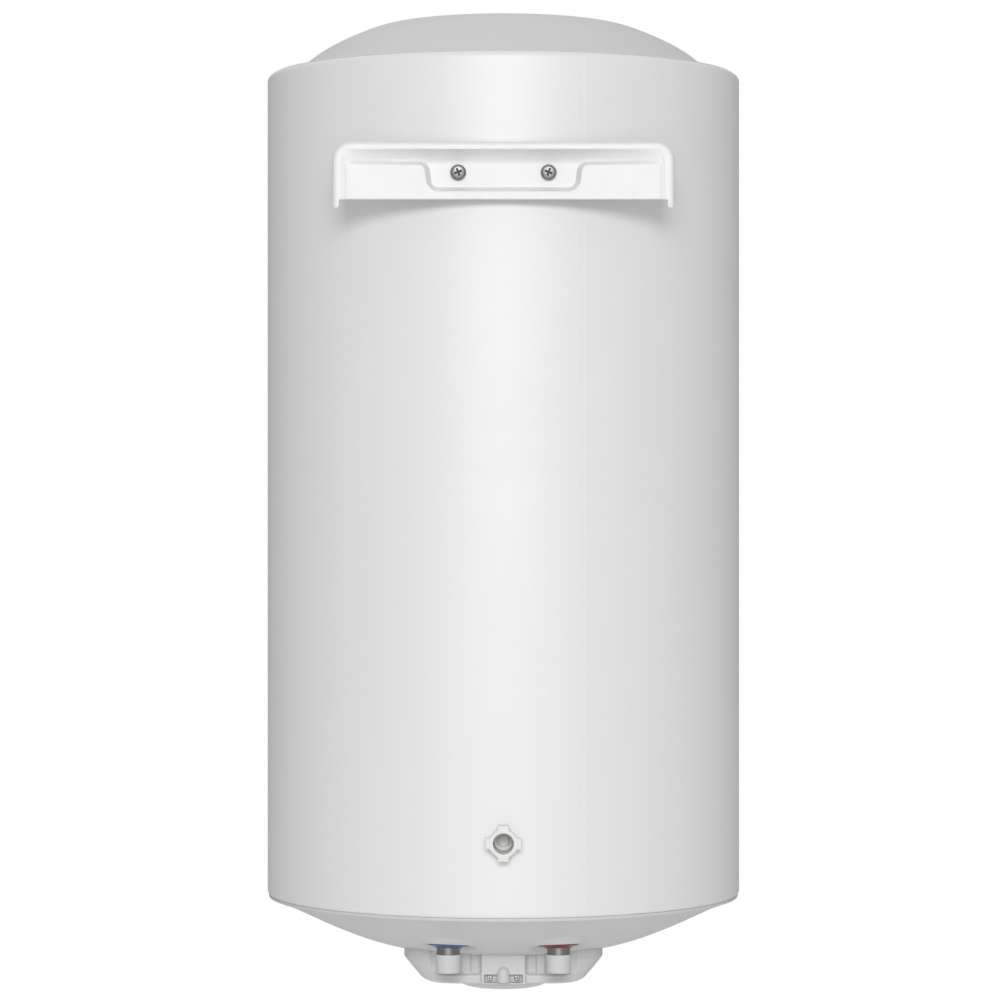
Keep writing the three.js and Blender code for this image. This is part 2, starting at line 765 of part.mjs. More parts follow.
/** The knob: a disc flush with the boss, with a grip left standing between two hollows. */
function temperatureKnob() {
  const disc = turned(
    [
      point(0, -88.4),
      point(12, -88.3),
      point(21.4, -87.6),
      point(KNOB_RADIUS, -86.6),
      point(KNOB_RADIUS, -79.4),
      point(0, -79.4),
    ],
    32,
  );
  const hollows = [1, -1].map((side) => {
    const hollow = new THREE.Shape();
    hollow.moveTo(4.5, -17);
    hollow.quadraticCurveTo(26, 0, 4.5, 17);
    hollow.closePath();
    return new THREE.ExtrudeGeometry(hollow, { depth: 8, bevelEnabled: false, curveSegments: 8 })
      .rotateZ(side > 0 ? 0 : Math.PI)
      .translate(0, 0, -92);
  });
  return cut(disc, ...hollows, upright(3.4, -84.6, -70, 12));
}

function indicatorLens() {
  return turned([point(0, -104.5), point(2.6, -103.8), point(3.8, -102), point(3.8, -91), point(0, -91)], 12)
    .rotateX(-Math.PI / 2);
}

// ---------------------------------------------------------------- front thermometer
/** Its pieces are drawn along Z, the dial facing +Z, and the group turns them to face -Y. */
function thermometer() {
  const [rim, seat] = [DIAL_RADIUS + 3.6, 1.2];
  const casing = turned(
    [
      point(0, -14), point(DIAL_RADIUS + 1.3, -14), point(DIAL_RADIUS + 1.3, seat), point(DIAL_RADIUS, seat),
      point(DIAL_RADIUS, -12.4), point(0, -12.4),
    ],
    24,
  );
  const bezel = turned(
    closed([
      point(DIAL_RADIUS - 2, seat + 2.2), point(DIAL_RADIUS - 1, seat + GAP), point(rim, seat + GAP),
      point(rim, seat + 2.6), point(DIAL_RADIUS + 0.6, seat + 4), point(DIAL_RADIUS - 2, seat + 3),
    ]),
    32,
  );
  const dial = cut(upright(DIAL_RADIUS - 0.4, -6, -5, 24), upright(1.4, -8, -3, 10));
  const glassDisc = upright(DIAL_RADIUS - 0.4, -1, 0.6, 24);
  const pointer = new THREE.Shape([
    point(-0.5, 19), point(-1.5, -6), point(1.5, -6), point(0.5, 19),
  ]);
  const blade = new THREE.ExtrudeGeometry(pointer, { depth: 0.8, bevelEnabled: false }).translate(0, 0, -3.8);
  const needle = join(blade.rotateZ(2.35), upright(2.6, -4.2, -2.4, 12), upright(1.1, -9, -4, 8));
  const group = assembly(
    [0, -CASING_RADIUS, DIAL_Z],
    part("thermometer_case", casing, blackPlastic),
    part("thermometer_dial", dial, whitePlastic),
    part("thermometer_needle", needle, redPlastic),
    part("thermometer_glass", glassDisc, glass),
    part("thermometer_bezel", bezel, zincSteel),
  );
  group.rotation.x = Math.PI / 2;
  return group;
}

// ---------------------------------------------------------------- assembly
const bolts = Array.from({ length: FLANGE_BOLTS }, (_, index) => {
  const place = [...boltPlace(index), FLANGE_TOP - 17.6];
  return part(`flange_bolt_${index + 1}`, hexBolt(4, 15, 5.5, 15), zincSteel, place);
});

const shell = assembly(
  [0, 0, 0],
  part("outer_casing", outerCasing(), casingPaint),
  part("top_cover", topCover(), coverPlastic, [0, 0, CASING_HEIGHT]),
  part("bottom_cover", bottomCover(), coverPlastic),
  part("foam_insulation", foamInsulation(), foam),
  part("inner_tank", innerTank(), enamelSteel),
);

const hanging = assembly(
  [0, 0, BRACKET_Z],
  part("tank_hanger", tankHanger(), bareSteel, [0, 0, SCREW_Z - 30]),
  part("wall_bracket", wallBracket(), bracketPaint, [0, WALL_Y, 0]),
  ...[["left", SCREW_X], ["right", -SCREW_X]].map(([side, x]) =>
    part(`bracket_screw_${side}`, bracketScrew(), zincSteel, [x, WALL_Y - POCKET_DEPTH + GAP, SCREW_Z]),
  ),
);

const standOff = assembly(
  [0, 0, SPACER_Z],
  part("wall_spacer", wallSpacer(), whitePlastic),
  part("spacer_bung", spacerBung(), whitePlastic),
);

const connections = [["cold", 1, bluePlastic], ["hot", -1, redPlastic]].map(([water, side, colour]) =>
  assembly(
    [PIPE_X * side, PIPE_Y, 0],
    part(`${water}_nipple`, nipple(), darkSteel),
    part(`${water}_rosette`, rosette(side), colour, [0, 0, -33]),
    part(`${water}_thread_cap`, threadCap(), whitePlastic, [0, 0, CAP_BOTTOM]),
  ),
);
connections[0].add(part("inlet_diffuser", inletDiffuser(), whitePlastic));
connections[1].add(part("hot_outlet_tube", hotOutletTube(), bareSteel));

const heaterFlange = assembly(
  [0, 0, 0],
  part("flange_collar", flangeCollar(), bareSteel, [0, 0, FLANGE_TOP]),
  part("flange_gasket", flangeGasket(), rubber, [0, 0, FLANGE_TOP - 9.3]),
  part("flange_plate", flangePlate(), zincSteel, [0, 0, FLANGE_TOP - 12.2]),
  ...bolts,
  part("heating_element", heatingElement(), copper),
  part("anode_rod", anodeRod(), magnesium, [0, ANODE_Y, 0]),
  part("anode_nut", cut(upright(7.4, -47, -40.7, 6), upright(4.2, -50, -38, 10)), zincSteel, [0, ANODE_Y, 0]),
  part("thermowell", thermowell(), copper),
  part("sensor_rod", upright(3, -45, 230, 10), bareSteel),
);

// The routes of the wires on the +X side; the neutral ones are their mirror images.
const supplyRoute = [[14, 72.5, -62], [18, 58, -62], [26, 38, -60], [24, 22, -57], [20, 18.6, -54]];
const elementRoute = [[22, -18.6, -54], [27, -24, -57], [27, -33, -60], [20, -36, -58], [16, -31, -51.5]];
const earthRoute = [[0, 72.5, -62], [0, 60, -60], [-12, 48, -56], [-27, 36, -52], [-30, 26.5, -46]];
const mirrored = (route) => route.map(([x, y, z]) => [-x, y, z]);
const wires = [
  ["wire_live", supplyRoute, brownInsulation],
  ["wire_neutral", mirrored(supplyRoute), bluePlastic],
  ["wire_earth", earthRoute, greenInsulation],
  ["element_wire_live", elementRoute, brownInsulation],
  ["element_wire_neutral", mirrored(elementRoute), bluePlastic],
].map(([name, places, colour]) => part(name, bar(places, 1.5, 10, 6), colour));

const controls = assembly(
  [0, 0, 0],
  part("thermostat_body", thermostatBody(), blackPlastic),
  part("thermostat_spindle", thermostatSpindle(), whitePlastic),
  part("cutout_button", cutoutButton(), redPlastic, [BUTTON_X, 0, 0]),
  part("terminal_block", terminalBlock(), whitePlastic),
  part("earth_screw", smallScrew(4, 3, 2, 10), zincSteel, [...EARTH, FLANGE_TOP - 17.6]),
  ...wires,
);

const coverGroup = assembly(
  [0, 0, 0],
  part("electric_cover", electricCover(), coverPlastic),
  part("temperature_knob", temperatureKnob(), whitePlastic),
  part("indicator_lens", indicatorLens(), amberLens, [LAMP_X, 0, LAMP_Z]),
  part("cord_clamp", cordClamp(), coverPlastic),
  ...COVER_SCREWS.map(([x, y], index) =>
    part(`cover_screw_${index + 1}`, smallScrew(4.2, 2.4, 2, 24), zincSteel, [x, y, FLOOR - GAP]),
  ),
);
[["left", 12.6], ["right", -12.6]].forEach(([side, x]) => {
  const seat = [x, CLAMP_SEAT + 2.5, -67.7];
  const screw = part(`clamp_screw_${side}`, smallScrew(2.8, 1.6, 1.3, 4.6), zincSteel, seat);
  screw.rotation.x = Math.PI / 2;
  coverGroup.add(screw);
});

const heater = assembly(
  [0, -WALL_Y, -ORIGIN_Z],
  shell,
  hanging,
  standOff,
  ...connections,
  heaterFlange,
  controls,
  coverGroup,
  thermometer(),
);

export default heater;
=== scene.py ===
import math
from contextlib import contextmanager

import bmesh
import bpy
import numpy as np
from mathutils import Matrix, Vector


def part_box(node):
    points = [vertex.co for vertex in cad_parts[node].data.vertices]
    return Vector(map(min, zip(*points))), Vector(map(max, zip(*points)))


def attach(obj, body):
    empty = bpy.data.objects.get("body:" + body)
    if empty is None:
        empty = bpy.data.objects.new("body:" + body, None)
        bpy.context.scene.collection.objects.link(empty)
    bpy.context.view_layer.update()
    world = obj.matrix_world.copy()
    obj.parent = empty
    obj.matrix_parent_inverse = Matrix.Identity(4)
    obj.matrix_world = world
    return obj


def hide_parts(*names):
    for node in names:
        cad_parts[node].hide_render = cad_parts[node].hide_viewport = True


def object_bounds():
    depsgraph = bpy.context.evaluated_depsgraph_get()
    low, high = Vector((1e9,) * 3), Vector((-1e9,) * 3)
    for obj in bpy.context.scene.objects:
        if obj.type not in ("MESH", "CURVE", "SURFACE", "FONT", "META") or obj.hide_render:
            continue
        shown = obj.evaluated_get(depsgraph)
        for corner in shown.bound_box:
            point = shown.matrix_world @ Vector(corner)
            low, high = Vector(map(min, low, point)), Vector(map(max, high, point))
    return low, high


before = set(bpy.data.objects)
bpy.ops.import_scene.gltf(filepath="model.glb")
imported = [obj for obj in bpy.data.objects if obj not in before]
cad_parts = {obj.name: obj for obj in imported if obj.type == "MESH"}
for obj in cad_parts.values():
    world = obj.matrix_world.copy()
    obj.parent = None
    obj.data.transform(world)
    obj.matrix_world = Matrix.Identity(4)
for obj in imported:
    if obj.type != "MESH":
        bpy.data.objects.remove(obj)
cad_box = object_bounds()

# Shapes are drawn in mm from the casing's axis and lower edge: x across, y towards the wall, z up.
MM = 0.001
casing_low, casing_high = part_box("outer_casing")
DATUM = np.array([0.0, (casing_low.y + casing_high.y) / 2, casing_low.z])


def local(node):
    """A CAD node's lowest and highest corners in the drawing's millimetres."""
    return [(np.array(corner) - DATUM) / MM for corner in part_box(node)]


def row(point):
    """A drawing point in the row frame, in metres."""
    return Vector(DATUM + np.array(point, float) * MM)


def added(name, data):
    """A new object in the scene."""
    made = bpy.data.objects.new(name, data)
    bpy.context.scene.collection.objects.link(made)
    return made


# ---- camera
CAMERA_DISTANCE = 3.4766  # metres from the casing's axis
CAMERA_Z = -0.25485
camera = added("camera", bpy.data.cameras.new("camera"))
camera.location = (0, DATUM[1] + CAMERA_DISTANCE, CAMERA_Z)
camera.rotation_euler = (math.pi / 2, 0, math.pi)
camera.data.lens = 132.3
camera.data.sensor_width = 36
camera.data.shift_x = -0.0034
camera.data.shift_y = -0.0153
bpy.context.scene.camera = camera


# ---- node materials
class Nodes:
    """A short way to wire shader nodes: each call makes a node and returns one of its outputs."""

    def __init__(self, tree):
        self.tree = tree
        tree.nodes.clear()

    def add(self, kind, inputs=(), output=0, **settings):
        node = self.tree.nodes.new("ShaderNode" + kind)
        for name, value in settings.items():
            setattr(node, name, value)
        for name, value in dict(inputs).items():
            if isinstance(value, bpy.types.NodeSocket):
                self.tree.links.new(value, node.inputs[name])
            else:
                node.inputs[name].default_value = value
        return node.outputs[output] if node.outputs else node

    def noise(self, at, scale, detail=3.0, rough=0.5):
        sockets = {"Vector": at, "Scale": scale, "Detail": detail, "Roughness": rough}
        return self.add("TexNoise", sockets)

    def span(self, value, low, high, start=0.3, end=0.7):
        """value from start..end turned into low..high, held at its ends."""
        sockets = {"Value": value, "From Min": start, "From Max": end, "To Min": low, "To Max": high}
        return self.add("MapRange", sockets)

    def mix(self, amount, first, second):
        """Two colours mixed. The colour sockets share their names with others, so they go by number."""
        return self.add("Mix", {0: amount, 6: first, 7: second}, 2, data_type="RGBA")

    def math(self, operation, first, second):
        return self.add("Math", {0: first, 1: second}, operation=operation)


def shade(colour, factor):
    """A colour made lighter or darker, with full alpha."""
    return (*[min(1.0, channel * factor) for channel in colour], 1.0)


def finish(
    slot, colour, rough, patches, grain, metallic=0, coat=0, coat_rough=0.12, specular=0.5, transmission=0,
    gloss_spread=0.05, waves=None, cells=None, brushed=None, speckle=None, edge=0, dust=0,
):
    """A procedural material. Heights are in mm and scales in features per metre.

    patches: scale and strength of slow colour changes; grain and waves: fine and long bumps;
    cells: pores or crystals; brushed: stretch of the grain along x, y, z; edge: convex edges painted lighter,
    part wear and part painted edge highlight;
    speckle: scale, threshold and colour of scattered specks; dust: a pale film on faces that look up."""
    material = bpy.data.materials.new(slot)
    material.use_nodes = True
    n = Nodes(material.node_tree)
    at = n.add("TexCoord", output="Object")
    fine_at = n.add("Mapping", {"Vector": at, "Scale": brushed}) if brushed else at
    slow = n.noise(at, patches[0], 4.0, 0.55)
    medium = n.noise(at, patches[0] * 9.0, 3.0, 0.6)
    tone = n.mix(n.span(slow, 0, 1), shade(colour, 1 - patches[1]), shade(colour, 1 + patches[1]))
    tone = n.mix(n.span(medium, 0, 0.35), tone, shade(colour, 1 - 1.6 * patches[1]))
    if speckle:
        scale, threshold, spot = speckle
        spots = n.add("TexVoronoi", {"Vector": at, "Scale": scale})
        tone = n.mix(n.span(spots, 1, 0, threshold * 0.7, threshold), tone, (*spot, 1))
    # Convex edges, found by pointiness, are painted lighter: part wear, part painted edge highlight.
    if edge:
        sharp = n.add("NewGeometry", output="Pointiness")
        worn = n.math("MULTIPLY", n.span(sharp, 0, edge, 0.515, 0.6), n.span(medium, 0.4, 1))
        tone = n.mix(worn, tone, shade(colour, 1.5))
    if dust:
        normal = n.add("NewGeometry", output="Normal")
        up = n.add("SeparateXYZ", {"Vector": normal}, output="Z")
        film = n.math("MULTIPLY", n.span(up, 0, dust, 0.5, 1.0), n.span(medium, 0.3, 1))
        tone = n.mix(film, tone, (0.72, 0.70, 0.66, 1))
    height = n.math("MULTIPLY", n.noise(fine_at, grain[0], 2.0, 0.6), grain[1])
    if waves:
        height = n.math("ADD", height, n.math("MULTIPLY", n.noise(at, waves[0], 1.0), waves[1]))
    if cells:
        pores = n.add("TexVoronoi", {"Vector": at, "Scale": cells[0]})
        height = n.math("ADD", height, n.math("MULTIPLY", pores, cells[1]))
        tone = n.mix(n.span(pores, 0, 0.25, 0, 0.8), tone, shade(colour, 0.7))
    bump = n.add("Bump", {"Height": height, "Strength": 1.0, "Distance": MM})
    gloss = n.span(n.noise(fine_at, patches[0] * 3.0, 4.0), rough - gloss_spread, rough + gloss_spread)
    surface = {
        "Base Color": tone,
        "Roughness": gloss,
        "Normal": bump,
        "Metallic": metallic,
        "Specular IOR Level": specular,
        "Coat Weight": coat,
        "Coat Roughness": coat_rough,
        "Transmission Weight": transmission,
    }
    n.add("OutputMaterial", {"Surface": n.add("BsdfPrincipled", surface)})
    return material


# The edge values set how much convex edges are painted lighter: part wear, part painted edge highlight.
PAINT = dict(rough=0.50, specular=0.8, coat=1.0, coat_rough=0.5)
TINTED_PLASTIC = dict(rough=0.38, patches=(50, 0.05), grain=(2600, 0.006), edge=0.15)
WIRE_SLEEVE = dict(rough=0.42, patches=(60, 0.08), grain=(1800, 0.008), brushed=(1, 1, 0.1))
FINISHES = {
    "casing_paint": dict(
        PAINT, colour=(0.79, 0.79, 0.787), patches=(3.0, 0.008), grain=(900, 0.0035), waves=(9, 0.05),
        dust=0.05,
    ),
    "bracket_paint": dict(
        PAINT, colour=(0.785, 0.785, 0.78), patches=(14, 0.012), grain=(1500, 0.006), waves=(40, 0.02),
        edge=0.10,
    ),
    "cover_plastic": dict(
        colour=(0.615, 0.617, 0.617), rough=0.46, patches=(6, 0.015), grain=(2200, 0.010), waves=(18, 0.03),
        edge=0.12, dust=0.05,
    ),
    "white_plastic": dict(
        colour=(0.78, 0.78, 0.765), rough=0.45, patches=(20, 0.015), grain=(2600, 0.006), waves=(60, 0.01),
        edge=0.1,
    ),
    "zinc_steel": dict(
        colour=(0.58, 0.583, 0.59), rough=0.44, metallic=1.0, patches=(60, 0.10), grain=(2500, 0.004),
        brushed=(1, 1, 0.2), gloss_spread=0.1, edge=0.25,
    ),
    "dark_steel": dict(
        colour=(0.29, 0.292, 0.295), rough=0.42, metallic=1.0, patches=(50, 0.12), grain=(2000, 0.005),
        gloss_spread=0.1, edge=0.3,
    ),
    "bare_steel": dict(
        colour=(0.42, 0.425, 0.43), rough=0.36, metallic=1.0, patches=(25, 0.10), grain=(1800, 0.006),
        brushed=(1, 1, 0.12), gloss_spread=0.12, speckle=(180, 0.18, (0.22, 0.15, 0.10)),
    ),
    "enamel_steel": dict(
        colour=(0.022, 0.055, 0.12), rough=0.18, coat=0.4, patches=(9, 0.10), grain=(350, 0.02),
        waves=(25, 0.08), speckle=(420, 0.16, (0.45, 0.5, 0.55)),
    ),
    "foam": dict(
        colour=(0.72, 0.60, 0.30), rough=0.92, specular=0.2, patches=(10, 0.12), grain=(700, 0.15),
        cells=(450, 0.35), waves=(30, 0.9),
    ),
    "rubber": dict(colour=(0.02, 0.02, 0.021), rough=0.72, patches=(40, 0.15), grain=(1800, 0.02), dust=0.2),
    "copper": dict(
        colour=(0.62, 0.26, 0.13), rough=0.32, metallic=1.0, patches=(35, 0.22), grain=(1500, 0.006),
        gloss_spread=0.12, speckle=(120, 0.22, (0.16, 0.07, 0.04)),
    ),
    "magnesium": dict(
        colour=(0.50, 0.51, 0.52), rough=0.58, metallic=0.9, patches=(45, 0.12), grain=(900, 0.03),
        cells=(260, 0.05),
    ),
    "blue_plastic": dict(TINTED_PLASTIC, colour=(0.05, 0.12, 0.25)),
    "red_plastic": dict(TINTED_PLASTIC, colour=(0.22, 0.035, 0.042)),
    "brown_insulation": dict(WIRE_SLEEVE, colour=(0.13, 0.05, 0.02)),
    "green_insulation": dict(WIRE_SLEEVE, colour=(0.25, 0.50, 0.03)),
    "amber_lens": dict(
        colour=(0.80, 0.16, 0.02), rough=0.12, coat=0.5, transmission=0.45, patches=(60, 0.05),
        grain=(900, 0.01), gloss_spread=0.03,
    ),
    "black_plastic": dict(
        colour=(0.028, 0.028, 0.030), rough=0.44, patches=(30, 0.08), grain=(2400, 0.008), edge=0.1,
    ),
    "glass": dict(
        colour=(0.93, 0.96, 0.96), rough=0.05, transmission=1.0, patches=(20, 0.01), grain=(60, 0.002),
        gloss_spread=0.03,
    ),
}
materials = {name: finish(name, **values) for name, values in FINISHES.items()}


# ---- mesh helpers
def drawn(name, points, faces, smooth=True):
    """A mesh object from drawing points in mm."""
    mesh = bpy.data.meshes.new(name)
    corners = DATUM + np.asarray(points, float) * MM
    mesh.from_pydata(corners.tolist(), [], [list(map(int, face)) for face in faces])
    mesh.validate()
    if smooth:
        mesh.shade_smooth()
    else:
        mesh.shade_flat()
    return added(name, mesh)


def apply_modifiers(made):
    """Keeps the result of the modifiers as the piece's own mesh."""
    graph = bpy.context.evaluated_depsgraph_get()
    mesh = bpy.data.meshes.new_from_object(made.evaluated_get(graph))
    made.modifiers.clear()
    made.data = mesh


@contextmanager
def edited(mesh):
    """A mesh opened for editing, and written back at the end."""
    work = bmesh.new()
    work.from_mesh(mesh)
    yield work
    work.to_mesh(mesh)
    work.free()


def outward(made):
    """Faces all turned outwards."""
    with edited(made.data) as work:
        bmesh.ops.remove_doubles(work, verts=work.verts, dist=2e-6)
        bmesh.ops.recalc_face_normals(work, faces=work.faces)
    return made


def crease(made, degrees=35.0):
    """Smooth shading that breaks at edges sharper than this."""
    with edited(made.data) as work:
        for edge in work.edges:
            edge.smooth = len(edge.link_faces) == 2 and edge.calc_face_angle(0) < math.radians(degrees)
    made.data.shade_smooth()
    return made


def piece(made, slot, *nodes, body="heater", look=None):
    """Gives a drawn object its finish and its body, and hides the CAD nodes it stands for."""
    made.data.materials.clear()
    made.data.materials.append(materials[look or slot])
    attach(made, body)
    if nodes:
        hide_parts(*nodes)


def rounded(corners, steps=5):
    """A closed outline from (x, z, radius) corners, each turned into an arc of that radius."""
    line = []
    count = len(corners)
    for index, (x, z, radius) in enumerate(corners):
        here = np.array([x, z], float)
        before = np.array(corners[index - 1][:2], float) - here
        after = np.array(corners[(index + 1) % count][:2], float) - here
        reach_before, reach_after = np.linalg.norm(before), np.linalg.norm(after)
        before, after = before / reach_before, after / reach_after
        half = math.acos(np.clip(before @ after, -1, 1)) / 2
        if radius <= 0 or abs(half - math.pi / 2) < 1e-3:
            line.append(here)
            continue
        cut = min(radius / math.tan(half), 0.49 * reach_before, 0.49 * reach_after)
        radius = cut * math.tan(half)
        centre = here + (before + after) / np.linalg.norm(before + after) * radius / math.sin(half)
        first, last = here + before * cut - centre, here + after * cut - centre
        turn = math.atan2(first[0] * last[1] - first[1] * last[0], first @ last)
        for step in range(steps + 1):
            angle = turn * step / steps
            c, s = math.cos(angle), math.sin(angle)
            line.append(centre + [c * first[0] - s * first[1], s * first[0] + c * first[1]])
    return np.array(line)


def turned(name, outline, segments=96, centre=(0, 0, 0), along="z", lean=None, shape=None):
    """A closed outline of (radius, height) turned about an axis through centre."""
    angles = np.arange(segments) * 2 * math.pi / segments
    outline = np.asarray(outline, float)
    radius, height = outline[:, 0], outline[:, 1]
    x = np.cos(angles)[:, None] * radius
    y = np.sin(angles)[:, None] * radius
    z = np.repeat(height[None, :], segments, 0)
    if shape:
        x, y, z = shape(x, y, z, angles[:, None])
    if lean is not None:
        z = z + lean[0] * x + lean[1] * y
    points = np.stack([x, y, z], -1).reshape(-1, 3)
    if along == "y":
        points = points[:, [0, 2, 1]] * [-1, 1, 1]
    elif along == "-y":
        points = points[:, [0, 2, 1]] * [1, -1, 1]
    points = points + np.array(centre, float)
    count = len(outline)
    faces = []
    for i in range(segments):
        j = (i + 1) % segments
        for k in range(count):
            m = (k + 1) % count
            if radius[k] < 1e-6 and radius[m] < 1e-6:
                continue
            quad = [i * count + k, j * count + k, j * count + m, i * count + m]
            if radius[k] < 1e-6:
                quad = [quad[0], quad[2], quad[3]]
            elif radius[m] < 1e-6:
                quad = quad[:3]
            faces.append(quad)
    return crease(outward(drawn(name, points, faces)))


def smooth_max(a, b, blend):
    """The greater of two distances, rounded where they meet."""
    near = np.maximum(blend - np.abs(a - b), 0) / blend
    return np.maximum(a, b) + near * near * blend * 0.25


def smooth_min(a, b, blend):
    return -smooth_max(-a, -b, blend)


def corner_distance(a, b):
    """The greater of two distances inside both, and the way round the corner outside."""
    return np.hypot(np.maximum(a, 0), np.maximum(b, 0)) + np.minimum(np.maximum(a, b), 0)


def slab_box(x, y, z, low, high, radius):
    """Distance to a box with rounded edges."""
    low, high = np.array(low, float), np.array(high, float)
    middle, half = (low + high) / 2, (high - low) / 2 - radius
    q = [np.abs(p - middle[k]) - half[k] for k, p in enumerate((x, y, z))]
    outside = np.sqrt(sum(np.maximum(d, 0) ** 2 for d in q))
    return outside + np.minimum(np.maximum(np.maximum(q[0], q[1]), q[2]), 0) - radius


def rod(across, over, along, low, high, radius, blend=0.8):
    """Distance to a round bar that runs from low to high along its axis."""
    return smooth_max(np.hypot(across, over) - radius, np.maximum(low - along, along - high), blend)


def zero_points(values, low, step):
    """One point in each grid cell that the zero level crosses, and each cell's place in that list."""
    size = np.array(values.shape) - 1
    total, hits = np.zeros((*size, 3)), np.zeros(size)
    near, far = slice(0, -1), slice(1, None)
    for axis in range(3):
        others = [k for k in range(3) if k != axis]
        for first, second in ((0, 0), (0, 1), (1, 0), (1, 1)):
            start = [near] * 3
            start[others[0]], start[others[1]] = (near, far)[first], (near, far)[second]
            end = list(start)
            end[axis] = far
            a, b = values[tuple(start)], values[tuple(end)]
            crossed = (a < 0) != (b < 0)
            hits += crossed
            total[..., axis] += np.where(crossed, a / np.where(crossed, a - b, 1), 0)
            total[..., others[0]] += crossed * first
            total[..., others[1]] += crossed * second
    used = hits > 0
    index = np.full(size, -1)
    index[used] = np.arange(used.sum())
    cell = np.stack(np.nonzero(used), -1)
    return low + (cell + total[used] / hits[used][:, None]) * step, index


def zero_faces(inside, index):
    """A face across each grid edge that the zero level crosses, through the four cells round it."""
    faces = []
    for axis in range(3):
        others = [(axis + 1) % 3, (axis + 2) % 3]
        start = [slice(1, -1)] * 3
        start[axis] = slice(0, -1)
        end = list(start)
        end[axis] = slice(1, None)
        offset = np.ones(3, int)
        offset[axis] = 0
        where = np.stack(np.nonzero(inside[tuple(start)] != inside[tuple(end)]), -1) + offset
        around = []
        for first, second in ((0, 0), (1, 0), (1, 1), (0, 1)):
            at = where.copy()
            at[:, others[0]] -= first
            at[:, others[1]] -= second
            around.append(index[tuple(at.T)])
        quads = np.stack(around, -1)
        entering = ~inside[tuple(where.T)]
        quads[entering] = quads[entering][:, ::-1]
        faces.append(quads)
    return np.concatenate(faces)


NET_POLISH = 2  # rounds that draw a net's points onto the zero level
SLOPE_STEP = 0.02


def field_slope(distance, points):
    """The field's gradient at points."""
    steps = np.eye(3) * SLOPE_STEP
    rises = [distance(*(points + step).T) - distance(*(points - step).T) for step in steps]
    return np.stack(rises, -1) / (2 * SLOPE_STEP)


def net(name, distance, low, high, step, keep):
    """The zero level of a distance field as a closed mesh, with the field's own normals for shading.

    step is the grid's mesh size, and keep the share of the faces that is left."""
    axes = [np.arange(low[k], high[k] + step, step) for k in range(3)]
    values = distance(*np.meshgrid(*axes, indexing="ij"))
    points, index = zero_points(values, np.array(low, float), step)
    for _ in range(NET_POLISH):
        slope = field_slope(distance, points)
        square = np.maximum((slope * slope).sum(-1), 0.05)
        move = -(distance(*points.T) / square)[:, None] * slope
        reach = np.linalg.norm(move, axis=-1, keepdims=True)
        points = points + move * np.minimum(1, 0.5 * step / np.maximum(reach, 1e-9))
    made = drawn(name, points, zero_faces(values < 0, index))
    thin = made.modifiers.new("thin", "DECIMATE")
    thin.ratio = keep
    apply_modifiers(made)
    found = np.zeros(len(made.data.vertices) * 3)
    made.data.vertices.foreach_get("co", found)
    slope = field_slope(distance, (found.reshape(-1, 3) - DATUM) / MM)
    normals = slope / np.maximum(np.linalg.norm(slope, axis=-1, keepdims=True), 1e-9)
    made.data.shade_smooth()
    made.data.normals_split_custom_set_from_vertices(normals.tolist())
    return made


def net_piece(name, node, slot, distance, margin, step, keep, **worn):
    """A net in the box of a CAD node, widened by a margin, as the piece that stands for the node."""
    low, high = local(node)
    piece(net(name, distance, low - margin, high + margin, step, keep), slot, node, **worn)


RING_SHARES = (0.85, 0.7, 0.56, 0.42, 0.3, 0.19, 0.09, 0.03, 0.0)


def pierced(name, plane, lift, holes, thickness):
    """A ring of sheet over a grid of plane points, closed along its first index, with round holes.

    A hole has a centre, a radius and a reach. Rings lead from the edge of the cells in reach to its circle."""
    m, n = plane.shape[:2]
    points = [tuple(p) for p in plane.reshape(-1, 2)]
    gone = set()
    faces = []
    for centre, radius, reach in holes:
        near = np.linalg.norm(plane - np.array(centre), axis=-1) < reach
        i_all, j_all = np.nonzero(near)
        i0, i1, j0, j1 = i_all.min() - 1, i_all.max() + 1, j_all.min() - 1, j_all.max() + 1
        gone |= {(i, j) for i in range(i0, i1) for j in range(j0, j1)}
        border = [(i, j0) for i in range(i0, i1)] + [(i1, j) for j in range(j0, j1)]
        border += [(i, j1) for i in range(i1, i0, -1)] + [(i0, j) for j in range(j1, j0, -1)]
        ring = [i * n + j for i, j in border]
        for share in RING_SHARES:
            fresh = []
            for i, j in border:
                away = plane[i, j] - centre
                rim = np.array(centre) + away / np.linalg.norm(away) * radius
                fresh.append(len(points))
                points.append(tuple(rim + (plane[i, j] - rim) * share))
            faces += [[ring[k - 1], ring[k], fresh[k], fresh[k - 1]] for k in range(len(ring))]
            ring = fresh
    for i in range(m):
        for j in range(n - 1):
            if (i, j) not in gone:
                k = (i + 1) % m
                faces.append([i * n + j, k * n + j, k * n + j + 1, i * n + j + 1])
    made = outward(drawn(name, lift(np.array(points)), faces))
    shell = made.modifiers.new("sheet", "SOLIDIFY")
    shell.thickness = thickness * MM
    shell.offset = -1
    shell.use_even_offset = True
    apply_modifiers(made)
    return crease(made, 40)


# ---- casing
CASING_RADIUS = (casing_high.x - casing_low.x) / 2 / MM
CASING_HEIGHT = (casing_high.z - casing_low.z) / MM
CASING_LIP = 214.0
CASING_ROLL = 3.5
CASING_CROWN_ROLL = 6.0
SEAM_ANGLE = math.radians(90 + 18.9)
WALL_Y = -DATUM[1] / MM


def middle(node):
    low, high = local(node)
    return (low + high) / 2


spacer_at = middle("wall_spacer")
dial_at = middle("thermometer_bezel")


